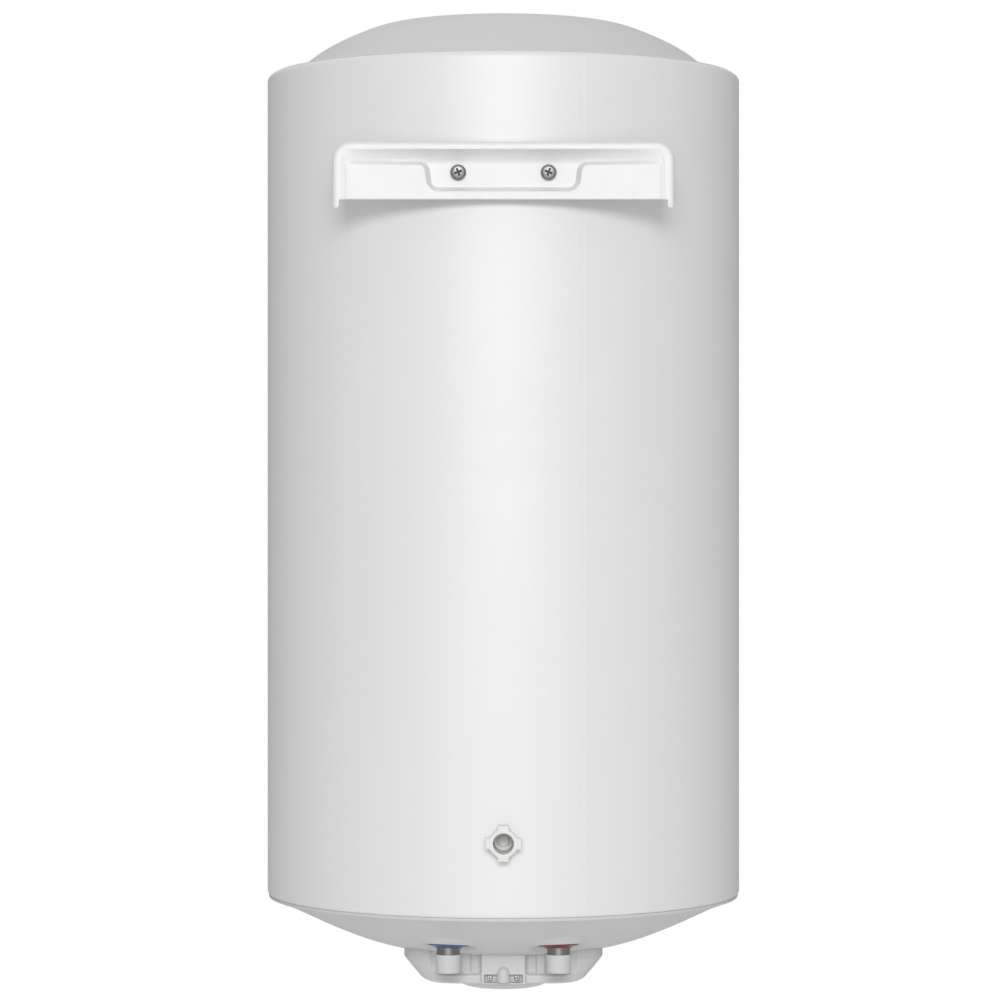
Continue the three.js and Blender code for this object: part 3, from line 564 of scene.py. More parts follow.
def casing_profile():
    """Radius and height along the sheet, from the lower lip round both rolled edges to the upper lip."""
    quarter = np.linspace(-math.pi / 2, 0, 8)

    def edge(roll):
        turn = [(CASING_RADIUS - roll * (1 - math.cos(a)), roll * (1 + math.sin(a))) for a in quarter]
        return [(CASING_LIP, 0.0), *turn]

    # Rows lie closer together round the spacer's hole.
    walls = [6.5, 12, 20, 30, 40, 48, 54, *range(60, 76, 4), *range(76, 161, 6), 168, 180]
    walls += [*np.arange(200, CASING_HEIGHT - 22, 20), *(CASING_HEIGHT - drop for drop in (20, 12, 9))]
    high = [(r, CASING_HEIGHT - z) for r, z in reversed(edge(CASING_CROWN_ROLL))]
    return np.array(edge(CASING_ROLL) + [(CASING_RADIUS, z) for z in walls] + high)


SEAM_COLUMNS = np.array([-5.0, -3.4, -2.4, -1.6, -0.8, 0.0, 0.8, 1.6, 2.4, 3.4, 5.0])
SPACER_HOLE = (11.4, 15)  # radius and reach
DIAL_HOLE = (28.6, 36)


def make_casing():
    profile = casing_profile()
    angles = np.linspace(0, 2 * math.pi, 193)[:-1] - math.pi / 4
    clear = np.abs(angles - SEAM_ANGLE) > 6.5 / CASING_RADIUS
    angles = np.sort(np.concatenate([angles[clear], SEAM_ANGLE + SEAM_COLUMNS / CASING_RADIUS]))
    along = np.arange(len(profile), dtype=float)
    plane = np.stack(np.meshgrid(angles * CASING_RADIUS, along, indexing="ij"), -1)
    # Rows of the same height, on the lips, are told apart by a trace of their place in the profile.
    mark = profile[:, 1] + (along - along.mean()) * 1e-7
    plane[..., 1] = mark

    def lift(p):
        angle, z = p[:, 0] / CASING_RADIUS, p[:, 1]
        radius = np.interp(z, mark, profile[:, 0])
        off = (angle - SEAM_ANGLE) * CASING_RADIUS
        lock = -0.10 * np.exp(-((off + 1.2) / 1.0) ** 2) + 0.07 * np.exp(-((off - 1.4) / 1.4) ** 2)
        radius = radius + lock * (radius > CASING_RADIUS - 1)
        return np.stack([radius * np.cos(angle), radius * np.sin(angle), z], -1)

    holes = [((math.pi / 2 * CASING_RADIUS, spacer_at[2]), *SPACER_HOLE)]
    holes += [((1.5 * math.pi * CASING_RADIUS, dial_at[2]), *DIAL_HOLE)]
    return pierced("casing_shell", plane, lift, holes, 1.0)


piece(make_casing(), "casing_paint", "outer_casing")

# ---- end covers
COVER_RIM = 221.0
TOP_RIM = 217.0
SKIRT_RADIUS = 213.4
# Radius and height of points on the crowns.
TOP_CROWN = [
    (0, 51.0), (50, 50.4), (92, 48.7), (115, 45.9), (145, 35.1), (175, 19.1), (190, 8.0), (198, 3.2),
    (207, 1.5), (TOP_RIM, 0.6),
]
BOTTOM_CROWN = [
    (72, -52.0), (100, -48.1), (130, -40.3), (160, -28.8), (190, -15.0), (206, -7.6), (COVER_RIM, -2.2),
]


def spline(knots, count):
    """A smooth curve through knots with no overshoot, as (radius, height) rows."""
    knots = np.array(knots, float)
    t = np.concatenate([[0], np.cumsum(np.linalg.norm(np.diff(knots, axis=0), axis=1))])
    slopes = np.gradient(knots, t, axis=0)
    u = np.linspace(0, t[-1], count)
    k = np.clip(np.searchsorted(t, u, side="right") - 1, 0, len(t) - 2)
    h = (t[k + 1] - t[k])[:, None]
    s = ((u - t[k]) / h[:, 0])[:, None]
    return (
        knots[k] * (1 + 2 * s) * (1 - s) ** 2
        + slopes[k] * h * s * (1 - s) ** 2
        + knots[k + 1] * s * s * (3 - 2 * s)
        + slopes[k + 1] * h * s * s * (s - 1)
    )


def crown_height(knots):
    """The height of a crown at any radius."""
    curve = spline(knots, 200)
    return lambda radius: np.interp(radius, curve[:, 0], curve[:, 1])


def make_top_cover():
    crown = spline(TOP_CROWN, 90)
    r = SKIRT_RADIUS
    lower = [(TOP_RIM + 0.3, 0.2), (TOP_RIM, -0.1), (r + 0.4, 0.0), (r, -0.3)]
    lower += [(r, -7.6), (r - 0.4, -8), (r - 1.6, -8), (r - 2, -7.6), (r - 2, 0.2)]
    inner = [(reach, height - 2.2) for reach, height in crown[::-1] if reach < 208]
    return turned("top_cover_shell", [*crown, *lower, *inner], 192, (0, 0, CASING_HEIGHT))


piece(make_top_cover(), "cover_plastic", "top_cover")

pipe_low, pipe_high = local("cold_nipple")
PIPE_X, PIPE_Y = middle("cold_nipple")[:2]
PIPE_HOLE = (13.1, 28)
COLLAR_LEAN = (0.045, 0.125)  # rise of the collars per unit outwards and towards the wall
COLLAR_Z = middle("cold_rosette")[2]
SEAT_RADIUS = 27.5
SEAT_BLEND = 7.5


def make_bottom_cover():
    crown = spline(BOTTOM_CROWN, 44)
    rim = [(COVER_RIM + 0.3, -1.2), (COVER_RIM + 0.2, 0.3), (COVER_RIM - 1.5, 0.1)]
    rim += [(SKIRT_RADIUS + 0.3, -0.1), (SKIRT_RADIUS, 0.3), (SKIRT_RADIUS, 4.0), (SKIRT_RADIUS, 8.0)]
    profile = np.array([*crown, *rim])
    angles = np.linspace(0, 2 * math.pi, 193)[:-1] - math.pi / 2
    polar = np.stack(np.meshgrid(angles, profile[:, 0], indexing="ij"), -1)
    plane = np.stack([polar[..., 1] * np.cos(polar[..., 0]), polar[..., 1] * np.sin(polar[..., 0])], -1)
    height = crown_height(BOTTOM_CROWN)
    grid_size = plane.shape[0] * plane.shape[1]

    def lift(p):
        """The crown, with a flat seat pressed into it round each pipe for the coloured collar."""
        z = height(np.hypot(p[:, 0], p[:, 1]))
        z[:grid_size] = np.tile(profile[:, 1], plane.shape[0])
        for side in (1, -1):
            across, over = p[:, 0] - side * PIPE_X, p[:, 1] - PIPE_Y
            seat = COLLAR_Z + 0.3 + COLLAR_LEAN[0] * side * across + COLLAR_LEAN[1] * over
            t = np.clip((SEAT_RADIUS - np.hypot(across, over)) / SEAT_BLEND, 0, 1)
            t = t * t * (3 - 2 * t)
            z = z * (1 - t) + seat * t
        return np.column_stack([p, z])

    holes = [((x, PIPE_Y), *PIPE_HOLE) for x in (PIPE_X, -PIPE_X)]
    return pierced("bottom_cover_shell", plane, lift, holes, 2.0)


piece(make_bottom_cover(), "cover_plastic", "bottom_cover")

# ---- wall bracket
bracket_low, bracket_high = local("wall_bracket")
bracket_screw_at = middle("bracket_screw_left")
BRACKET_HALF = bracket_high[0] + 0.8
BRACKET_BASE = bracket_high[2] - 50.2
BRACKET_TOP = 51.4
BRACKET_CORNER = 17.0
BRACKET_SHEET = 2.1
SKIRT_DEPTH = 12.5
POCKET_DEPTH = 11.2
POCKET_HALF = 66.0
POCKET_FOOT = 9.4
POCKET_CORNER = 7.5
CHANNEL_HALF = 142
CHANNEL_FOOT = 32.9
CHANNEL_TOP = 44.6
CHANNEL_SLOPE = 13  # height over which the channel's floor rises to the face
CHANNEL_FADE = 74  # length over which the channel fades out at each end
PRESSING_WALL = 2.5  # half the width of the rounded wall round a pressing
PRONG_WIDTH = 6.5
PRONG_DROP = BRACKET_BASE - bracket_low[2]
SCREW_HOLE = 4.5


def round_max(a, b, radius):
    """The greater of two distances, meeting in a true arc."""
    arc = np.hypot(np.maximum(a + radius, 0), np.maximum(b + radius, 0))
    return np.minimum(-radius, np.maximum(a, b)) + arc


def falloff(distance):
    """1 inside a pressing, 0 outside, with a rounded wall between."""
    t = np.clip(0.5 - distance / (2 * PRESSING_WALL), 0, 1)
    return t * t * (3 - 2 * t)


def pressing_depth(x, z):
    """How far the face is pressed in: a middle pocket, and a channel over it that fades to its ends."""
    across = np.abs(x)
    sides = across - (POCKET_HALF + np.clip((z - 17) / 9, -0.6, 1) * 1.2)
    pocket = round_max(sides, POCKET_FOOT - z, POCKET_CORNER)
    channel = np.maximum(CHANNEL_FOOT - z, across - CHANNEL_HALF)
    pressed = -round_max(-pocket, -channel, 8.0)
    slope = np.clip((CHANNEL_TOP - z) / CHANNEL_SLOPE, 0, 1)
    fade = np.clip((CHANNEL_HALF - 1 - across) / CHANNEL_FADE, 0.0, 1) ** 0.9
    groove = 0.5 * np.exp(-(((across - CHANNEL_HALF + 1.5) / 1.6) ** 2)) * np.clip((40 - z) / 6, 0, 1)
    return POCKET_DEPTH * fade * falloff(pressed) * (1 - (1 - slope) ** 2.4) + groove


def bracket_distance(x, y, z):
    z = z - BRACKET_BASE
    below = WALL_Y - y
    depth = pressing_depth(x, z)
    e = 0.05
    dx = (pressing_depth(x + e, z) - depth) / e
    dz = (pressing_depth(x, z + e) - depth) / e
    face = (depth - below) / np.sqrt(1 + dx * dx + dz * dz)
    ax, az = np.abs(x) - (BRACKET_HALF - BRACKET_CORNER), z - (BRACKET_TOP - BRACKET_CORNER)
    outline = corner_distance(ax, az) - BRACKET_CORNER
    prong_low, prong_high = (BRACKET_HALF - PRONG_WIDTH, -9, -PRONG_DROP), (BRACKET_HALF, 9, 20)
    foot = smooth_min(-z, slab_box(np.abs(x), 0 * x, z, prong_low, prong_high, 3.0), 1.2)
    outer = smooth_max(smooth_max(outline, face, 5.0), foot, 0.9)
    inner = smooth_max(outline + BRACKET_SHEET, face + BRACKET_SHEET, 2.5)
    skirt = np.where(z < 0.6, BRACKET_SHEET, np.maximum(SKIRT_DEPTH, depth + BRACKET_SHEET + 0.4))
    sheet = smooth_max(smooth_max(outer, -inner, 0.6), below - skirt, 0.6)
    holes = np.hypot(np.abs(x) - bracket_screw_at[0], z - (bracket_screw_at[2] - BRACKET_BASE)) - SCREW_HOLE
    return smooth_max(sheet, -holes, 0.6)
bracket = net(
    "bracket_pressing",
    bracket_distance,
    (-BRACKET_HALF - 2, WALL_Y - 15.5, BRACKET_BASE - PRONG_DROP - 2),
    (BRACKET_HALF + 2, WALL_Y + 1.5, BRACKET_BASE + BRACKET_TOP + 2),
    0.75,
    keep=0.35,
)
piece(bracket, "bracket_paint", "wall_bracket")


def cross_screw(x, over, z, length, head_radius, head, shank_radius, pitch, arm, arm_width):
    """Distance to a pan-head screw whose head rises along +over from its seat at 0, with a cross recess."""
    radius = np.hypot(x, z)
    dome = over - (head - 0.22 * head * (radius / head_radius) ** 2.4)
    cap = smooth_max(smooth_max(radius - head_radius, dome, 0.45 * head), -over, 0.3)
    turn = np.arctan2(z, x) / (2 * math.pi)
    saw = np.abs(((over / pitch - turn) % 1) - 0.5) * 2
    ends = np.maximum(-length - over, over - 0.5)
    shank = smooth_max(radius - shank_radius + 0.45 * pitch * saw, ends, 0.4)
    deep = head * 0.30 + np.clip(radius / arm, 0, 1) * head * 0.35
    wide, tall = np.abs(x), np.abs(z)
    cross = np.minimum(*[np.maximum(a - arm, b - arm_width) for a, b in ((wide, tall), (tall, wide))])
    recess = smooth_max(cross, deep - over, 0.3)
    return smooth_max(smooth_min(cap, shank, 0.3), -recess, 0.35)


BRACKET_SCREW = dict(head_radius=7.0, head=5.0, shank_radius=3.9, pitch=1.4, arm=3.5, arm_width=0.75)
COVER_SCREW = dict(head_radius=4.2, head=2.4, shank_radius=2.0, pitch=1.1, arm=2.52, arm_width=0.4)
CLAMP_SCREW = dict(head_radius=2.8, head=1.6, shank_radius=1.3, pitch=0.9, arm=1.68, arm_width=0.35)


def make_screw(node, ending, sizes, margin, step, down=False, turn=0.0, look=None):
    """A screw in a CAD node's place, its head towards the wall or down."""
    low, high = local(node)
    at = middle(node)
    axis = 2 if down else 1
    length = high[axis] - low[axis] - sizes["head"]

    def distance(x, y, z):
        if down:
            over, side = low[2] + sizes["head"] - z, y - at[1]
        else:
            over, side = y - (high[1] - sizes["head"]), z - at[2]
        x = x - at[0]
        u, v = x * math.cos(turn) - side * math.sin(turn), x * math.sin(turn) + side * math.cos(turn)
        return cross_screw(u, over, v, length, **sizes)

    net_piece(f"{node}_{ending}", node, "zinc_steel", distance, margin, step, 0.6, look=look)


for side, turn in (("left", 0.35), ("right", -0.35)):
    make_screw(f"bracket_screw_{side}", "head", BRACKET_SCREW, 1.2, 0.32, turn=turn, look="dark_steel")

# ---- lower spacer
spacer_low, spacer_high = local("wall_spacer")
COLLAR_RADIUS = 12.2
OCTAGON_HALF = 12.3
LUG_REACH = 15.9
LUG_HALF = 4.8
SPACER_BORE = 9.15


def spacer_distance(x, y, z):
    """A round collar, with an octagon and four lugs seated on the casing, bored from the wall's side."""
    z = z - spacer_at[2]
    back, front = spacer_low[1], spacer_high[1]
    seated = np.maximum(CASING_RADIUS + 0.6 - y, y - front)
    radius = np.hypot(x, z)
    side = (np.arctan2(z, x) + math.pi / 8) % (math.pi / 4) - math.pi / 8
    octagon = smooth_max(radius * np.cos(side) - OCTAGON_HALF, seated, 1.2)
    body = smooth_min(rod(x, z, y, back, front, COLLAR_RADIUS, 1.2), octagon, 0.6)
    for u, v in ((x, z), (z, x)):
        lug = smooth_max(np.abs(u) - LUG_REACH, np.abs(v) - LUG_HALF, 0.9)
        body = smooth_min(body, smooth_max(lug, seated, 1.0), 0.8)
    bore = smooth_max(radius - SPACER_BORE, back + 3 - y, 0.5)
    return smooth_max(body, -bore, 1.1)


net_piece("spacer_foot", "wall_spacer", "white_plastic", spacer_distance, 1.5, 0.45, 0.45)
BUNG = [
    (0, 0, 0), (8.8, 0, 0.4), (8.8, 2.6, 0.5), (7.6, 2.6, 0.2), (7.2, 2.2, 0.3), (5.5, 2.2, 0.8),
    (4.9, 3.9, 1.0), (0, 4.2, 0),
]
bung_foot = (0, local("spacer_bung")[0][1], spacer_at[2])
piece(turned("spacer_plug", rounded(BUNG), 64, bung_foot, "y"), "white_plastic", "spacer_bung")

# ---- water connections
PIPE_RADIUS = 10.5
PIPE_BORE = 7.5
PIPE_END, PIPE_TOP = pipe_low[2], pipe_high[2]
THREAD_PITCH = 1.814
THREAD_DEPTH = 1.0
THREAD_LENGTH = 14.0
THREAD_RUNG = 0.22
# Radius, height and rounding of the collar's section.
FLARE = [
    (10.9, -2.8, 0.3), (11.7, -2.8, 0.4), (13.0, -1.5, 1.2), (18.4, -0.5, 0.3), (18.4, 0.25, 0.35),
    (14.6, 0.9, 1.5), (12.8, 1.9, 1.2), (12.6, 3.0, 0.5), (10.9, 3.0, 0.3),
]


def threaded(x, y, z, angle):
    """A pipe thread cut into the lower end of the outer wall."""
    radius = np.hypot(x, y)
    outer = radius > PIPE_RADIUS - 0.2
    up = z - PIPE_END
    fade = np.clip(up / 1.5, 0, 1) * np.clip((THREAD_LENGTH - up) / 2.5, 0, 1)
    tooth = np.abs(((z / THREAD_PITCH - angle / (2 * math.pi)) % 1) - 0.5) * 2
    cut = outer * fade * THREAD_DEPTH * np.clip(1.3 * tooth - 0.1, 0, 1)
    scale = (radius - cut) / radius
    return x * scale, y * scale, z


def make_nipple(side, x):
    rungs = np.arange(PIPE_END + 0.6, PIPE_END + THREAD_LENGTH + 1, THREAD_RUNG)
    upper = np.linspace(PIPE_END + THREAD_LENGTH + 3, PIPE_TOP, 8)
    outline = [(PIPE_BORE + 0.6, PIPE_END), (PIPE_RADIUS - 0.7, PIPE_END)]
    outline += [(PIPE_RADIUS, height) for height in (*rungs, *upper)]
    outline += [(PIPE_BORE, PIPE_TOP), (PIPE_BORE, PIPE_END + 0.6)]
    nipple = turned(f"{side}_pipe_thread", outline, 96, (x, PIPE_Y, 0), shape=threaded)
    piece(nipple, "dark_steel", f"{side}_nipple")


def make_collar(side, x, colour):
    lean = (math.copysign(COLLAR_LEAN[0], x), COLLAR_LEAN[1])
    collar = turned(f"{side}_collar", rounded(FLARE, 6), 128, (x, PIPE_Y, COLLAR_Z), lean=lean)
    piece(collar, colour, f"{side}_rosette")


def make_cap(side, x):
    low, high = local(f"{side}_thread_cap")
    length = high[2] - low[2]
    corners = [
        (0, 0, 0), (10.6, 0, 0.6), (11.2, 0.7, 0.4), (11.2, length - 1.4, 0.3), (11.4, length - 1.1, 0.2),
        (11.4, length, 0.25), (10.7, length, 0.2), (10.7, 1.2, 0.5), (0, 1.2, 0),
    ]
    cap = turned(f"{side}_cap", rounded(corners), 128, (x, PIPE_Y, low[2]))
    piece(cap, "white_plastic", f"{side}_thread_cap", body=f"{side}_cap", look="cover_plastic")


for side, x, colour in (("cold", PIPE_X, "blue_plastic"), ("hot", -PIPE_X, "red_plastic")):
    make_nipple(side, x)
    make_collar(side, x, colour)
    make_cap(side, x)

# ---- electric cover
COVER_FLOOR = -73.0
COVER_WALL = 3.2
# Height, half width, back, front and rear corner radius of the cover's levels.
LEVELS = np.array([
    (COVER_FLOOR, 66, 102.5, -84, 20), (-72.1, 70, 104, -88, 23), (-70, 75, 104, -92, 27),
    (-60, 84.5, 104, -101, 34), (-51.5, 92, 104, -108, 40), (-20, 92, 104, -108, 40),
])
KNOB_RECESS = 23.6
RECESS_FLOOR = -79.0
SPINDLE_HOLE = 4.5
# Radius and height of points on the boss round the knob.
BOSS = [(0, -89.2), (20, -88.5), (37, -86.6), (43, -83.8), (50, -72)]
BOSS_RADIUS = 50
CORD_Y = 109.0
CORD_RADIUS = 4.2
PANEL_HALF = 20.4
PANEL_BACK = 110.0
CLAMP_SEAT = local("cord_clamp")[0][1] - 0.3
CLAMP_HALF = 17.4
LAMP_HOLE = 4.2
COVER_SCREW_HOLE = 2.4
BOW_DEPTH = 0.75  # of the cover's front, as a share of its half width

boss_height = crown_height(BOSS)
dome_height = crown_height(BOTTOM_CROWN)
lamp_at = middle("indicator_lens")
cover_screws = [f"cover_screw_{k}" for k in (1, 2, 3, 4)]


def cover_plan(x, y, z, inset):
    """Distance across a level: straight at the back with round corners, and a wide bow at the front."""
    near = [
        np.mean([np.interp(z + shift, LEVELS[:, 0], LEVELS[:, k]) for shift in (-0.7, 0, 0.7)], 0)
        for k in range(1, 5)
    ]
    half, back, front, corner = near[0] - inset, near[1] - inset, near[2] + inset, near[3] - inset
    bow = half - 4
    centre = front + BOW_DEPTH * bow
    rear = corner_distance(np.abs(x) - (half - corner), y - (back - corner)) - corner
    px, py = np.maximum(np.abs(x) - 4, 0), y - centre
    k0 = np.hypot(px / bow, py / (BOW_DEPTH * bow))
    k1 = np.maximum(np.hypot(px / bow**2, py / (BOW_DEPTH * bow) ** 2), 1e-6)
    return np.where(y > centre, rear, k0 * (k0 - 1) / k1)


def boss_distance(radius, z, edge, grow, wall):
    """Distance to the boss out to an edge, or to the hollow behind it."""
    steep = np.where(radius > 42, 0.55, 1.0)
    height = boss_height(np.minimum(radius + grow, BOSS_RADIUS)) + wall
    return np.maximum((height - z) * steep, radius - edge)


def cover_body(x, y, z, radius):
    """The hollow box with its rear bays, the clamp's panel, and the boss with the knob's recess."""
    outer = smooth_max(cover_plan(x, y, z, 0) * 0.85, COVER_FLOOR - z, 1.4)
    inner = np.maximum(cover_plan(x, y, z, COVER_WALL) * 0.85, COVER_FLOOR + COVER_WALL - z)
    boss = boss_distance(radius, z, BOSS_RADIUS, 0, 0)
    hollow = boss_distance(radius, z, BOSS_RADIUS - 4, 1.2, COVER_WALL)
    bays = slab_box(np.abs(x), y, z, (19, 96.8, -66.8), (72, 102.5, -30), 1.6)
    panel = slab_box(x, y, z, (-PANEL_HALF, 99, COVER_FLOOR), (PANEL_HALF, PANEL_BACK, -30), 1.1)
    shell = smooth_max(outer, -inner, 0.8)
    shell = smooth_min(np.minimum(shell, np.maximum(bays, outer)), panel, 0.9)
    shell = smooth_min(shell, np.maximum(boss, z + 71), 2.0)
    shell = smooth_max(shell, -np.maximum(hollow, z + 69), 0.8)
    shell = np.minimum(shell, rod(x, y, z, -88, RECESS_FLOOR + COVER_WALL, KNOB_RECESS + 2, 0.6))
    shell = smooth_max(shell, -rod(x, y, z, -99, RECESS_FLOOR, KNOB_RECESS, 0.4), 1.3)
    return smooth_max(shell, SPINDLE_HOLE - radius, 0.6)


def cover_distance(x, y, z):
    """The cover's body with its ribs, its notch and cord way, its holes, and its rim cut to the dome."""
    radius = np.hypot(x, y)
    shell = cover_body(x, y, z, radius)
    bay_cut = slab_box(np.abs(x), y, z, (PANEL_HALF + 0.8, 99, -64.6), (68, 116, -28), 3.0)
    shell = smooth_max(shell, -bay_cut, 2.2)
    rib = slab_box(np.abs(x), y, z, (30.4, 97.5, -66), (38.6, 101.0, -40), 1.4)
    shell = smooth_min(shell, rib, 2.4)
    notch = slab_box(x, y, z, (-CLAMP_HALF, CLAMP_SEAT, -71.4), (CLAMP_HALF, 126, -64), 0.6)
    shell = smooth_max(shell, -notch, 0.7)
    drop = rod(x, y - CORD_Y, z, -82, -63, CORD_RADIUS, 0.5)
    run = rod(x, z + 63, y, 85, CORD_Y, CORD_RADIUS, 0.5)
    shell = smooth_max(shell, -np.minimum(drop, run), 0.6)
    shell = smooth_max(shell, -rod(x - lamp_at[0], z - lamp_at[2], y, -126, -85, LAMP_HOLE, 0.4), 0.6)
    for screw in cover_screws:
        at = middle(screw)
        shell = smooth_max(shell, COVER_SCREW_HOLE - np.hypot(x - at[0], y - at[1]), 0.5)
    crown = np.where(radius < 72, -52.5, dome_height(np.maximum(radius, 72)) + 0.4)
    return smooth_max(shell, (z - crown) * 0.93, 0.6)


net_piece("service_cover", "electric_cover", "cover_plastic", cover_distance, 2, 1.0, 0.5)

KNOB_RADIUS = 22.6
KNOB_FACE = -88.4
GRIP_HALF = 4.4
GRIP_ROOT = -82.2


def knob_distance(x, y, z):
    """A ribbed disc with a hollow on each side of a straight grip, and a mark cut into the grip."""
    radius = np.hypot(x, y)
    face = KNOB_FACE + 0.0016 * radius**2
    disc = smooth_max(smooth_max(radius - KNOB_RADIUS, face - z, 1.6), z + 79.4, 0.5)
    curve = np.hypot(np.abs(x) + 2.6, y * 0.86) - 17.2
    hollow = smooth_max(smooth_max(GRIP_HALF - np.abs(x), curve, 2.0), z - GRIP_ROOT, 2.4)
    mark = slab_box(x, y, z, (-0.7, 8, -92), (0.7, 17, -87.3), 0.3)
    ribs = np.clip(np.cos(np.arctan2(y, x) * 60) * 0.22, 0, 1) * (radius > 21.5)
    body = smooth_max(disc + np.where(z > -86.5, ribs, 0), -hollow, 0.9)
    return smooth_max(smooth_max(body, -mark, 0.3), -rod(x, y, z, -84.6, -70, 3.4, 0.3), 0.3)


net_piece("knob_grip", "temperature_knob", "white_plastic", knob_distance, 1.2, 0.4, 0.45, body="knob")

CLAMP_HOLE_X = 12.6


def clamp_distance(x, y, z):
    """A saddle over the cord, bridged to two ears that fill the cover's notch."""
    over = np.maximum(z + 62, 0)
    saddle = smooth_max(np.sqrt(x**2 + (y - CORD_Y) ** 2 + over**2) - 5.6, -71.1 - z, 0.8)
    saddle = np.maximum(saddle, PANEL_BACK + 0.3 - y)
    ear_low = (0.05 - CLAMP_HALF, CLAMP_SEAT - 0.2, -71.35)
    ears = slab_box(x, y, z, ear_low, (CLAMP_HALF - 0.05, CLAMP_SEAT + 2.2, -64.05), 0.3)
    bridge = slab_box(x, y, z, (-5.5, CLAMP_SEAT + 1, -71.1), (5.5, PANEL_BACK + 1, -64.3), 0.5)
    body = smooth_min(smooth_min(saddle, bridge, 0.8), ears, 1.4)
    way = np.sqrt(x**2 + (y - CORD_Y) ** 2 + np.maximum(z + 63, 0) ** 2) - CORD_RADIUS
    body = smooth_max(body, -way, 0.5)
    return smooth_max(body, 1.6 - np.hypot(np.abs(x) - CLAMP_HOLE_X, z + 67.7), 0.4)


net_piece("cord_saddle", "cord_clamp", "cover_plastic", clamp_distance, 1, 0.35, 0.6)

for screw in cover_screws:
    make_screw(screw, "body", COVER_SCREW, 0.8, 0.25, down=True)
for side in ("left", "right"):
    make_screw(f"clamp_screw_{side}", "body", CLAMP_SCREW, 0.8, 0.25)

LENS = [(0, 0, 0), (3.8, 0, 0.3), (3.8, 10.9, 0.8), (2.6, 12.8, 1.6), (0, 13.5, 0)]
lens_back = (lamp_at[0], local("indicator_lens")[1][1], lamp_at[2])
piece(turned("lamp_lens", rounded(LENS), 64, lens_back, "-y"), "amber_lens", "indicator_lens")

SCALE_DOTS = 9
SCALE_RADIUS = 29.5
DOT_SIDES = 24
DOT_RINGS = [(1.0, 0.5), (1.0, -0.12), (0.8, -0.3), (0.4, -0.38)]  # share of the dot's size, and height


def make_knob_scale():
    """Dots that grow round the knob, on the boss."""
    points, faces = [], []
    for index in range(SCALE_DOTS):
        angle = math.radians(-225 + 270 * index / (SCALE_DOTS - 1))
        size = 0.8 + 0.09 * index
        base = len(points)
        for share, height in DOT_RINGS:
            for k in range(DOT_SIDES):
                t = 2 * math.pi * k / DOT_SIDES
                x = SCALE_RADIUS * math.cos(angle) + size * share * math.cos(t)
                y = SCALE_RADIUS * math.sin(angle) + size * share * math.sin(t)
                points.append((x, y, float(boss_height(math.hypot(x, y))) + height))
        for ring in range(len(DOT_RINGS) - 1):
            a, b = base + ring * DOT_SIDES, base + (ring + 1) * DOT_SIDES
            for k in range(DOT_SIDES):
                m = (k + 1) % DOT_SIDES
                faces.append((a + k, a + m, b + m, b + k))
        faces.append([b + k for k in range(DOT_SIDES)])
        faces.append([base + k for k in reversed(range(DOT_SIDES))])
    piece(outward(drawn("knob_scale", points, faces)), "black_plastic")


make_knob_scale()

# ---- front thermometer
DIAL = 27.0
DIAL_FACE = 5.0  # depth of the dial's face behind the casing


def gauge_part(name, slot, node, corners, segments=128):
    """A turned part of the thermometer, from (radius, height in front of the casing, rounding) corners."""
    made = turned(name, rounded(corners), segments, (0, -CASING_RADIUS, dial_at[2]), "-y")
    piece(made, slot, node)


CASE = [
    (0, -14, 0), (DIAL + 1.3, -14, 1), (DIAL + 1.3, 1.2, 0.3), (DIAL, 1.2, 0.3), (DIAL, -12.4, 0.5),
    (0, -12.4, 0),
]
BEZEL = [
    (25.0, 3.4, 0.3), (26.0, 1.6, 0.2), (30.6, 1.5, 0.4), (30.6, 3.6, 0.9), (29.2, 4.9, 0.9),
    (27.6, 5.2, 0.8), (25.0, 4.2, 0.5),
]
FACE = [(1.4, -6, 0), (26.6, -6, 0.2), (26.6, -5, 0.3), (1.4, -5, 0.2)]
PANE = [(0, -1, 0), (26.6, -1, 0.3), (26.6, 0.2, 0.4), (14, 0.5, 6), (0, 0.6, 0)]
gauge_part("gauge_case", "black_plastic", "thermometer_case", CASE)
gauge_part("gauge_bezel", "zinc_steel", "thermometer_bezel", BEZEL, 160)
gauge_part("gauge_face", "white_plastic", "thermometer_dial", FACE)
gauge_part("gauge_glass", "glass", "thermometer_glass", PANE)


def dial_strip(points, faces, radius_in, radius_out, start, end, thick, steps):
    """A raised band or tick on the dial, between two clock angles in radians."""
    base = len(points)
    low, high = 4.9, DIAL_FACE - thick
    section = [(radius_in, low), (radius_out, low), (radius_out, high), (radius_in, high)]
    for k in range(steps + 1):
        t = start + (end - start) * k / steps
        for radius, depth in section:
            place = (radius * math.cos(t), depth - CASING_RADIUS, dial_at[2] + radius * math.sin(t))
            points.append(place)
    for k in range(steps):
        a, b = base + 4 * k, base + 4 * (k + 1)
        faces += [(a + m, a + (m + 1) % 4, b + (m + 1) % 4, b + m) for m in range(4)]
    faces += [tuple(base + m for m in range(4)), tuple(base + 4 * steps + m for m in reversed(range(4)))]


START, SWEEP = math.radians(225), math.radians(-270)
TICKS = 32
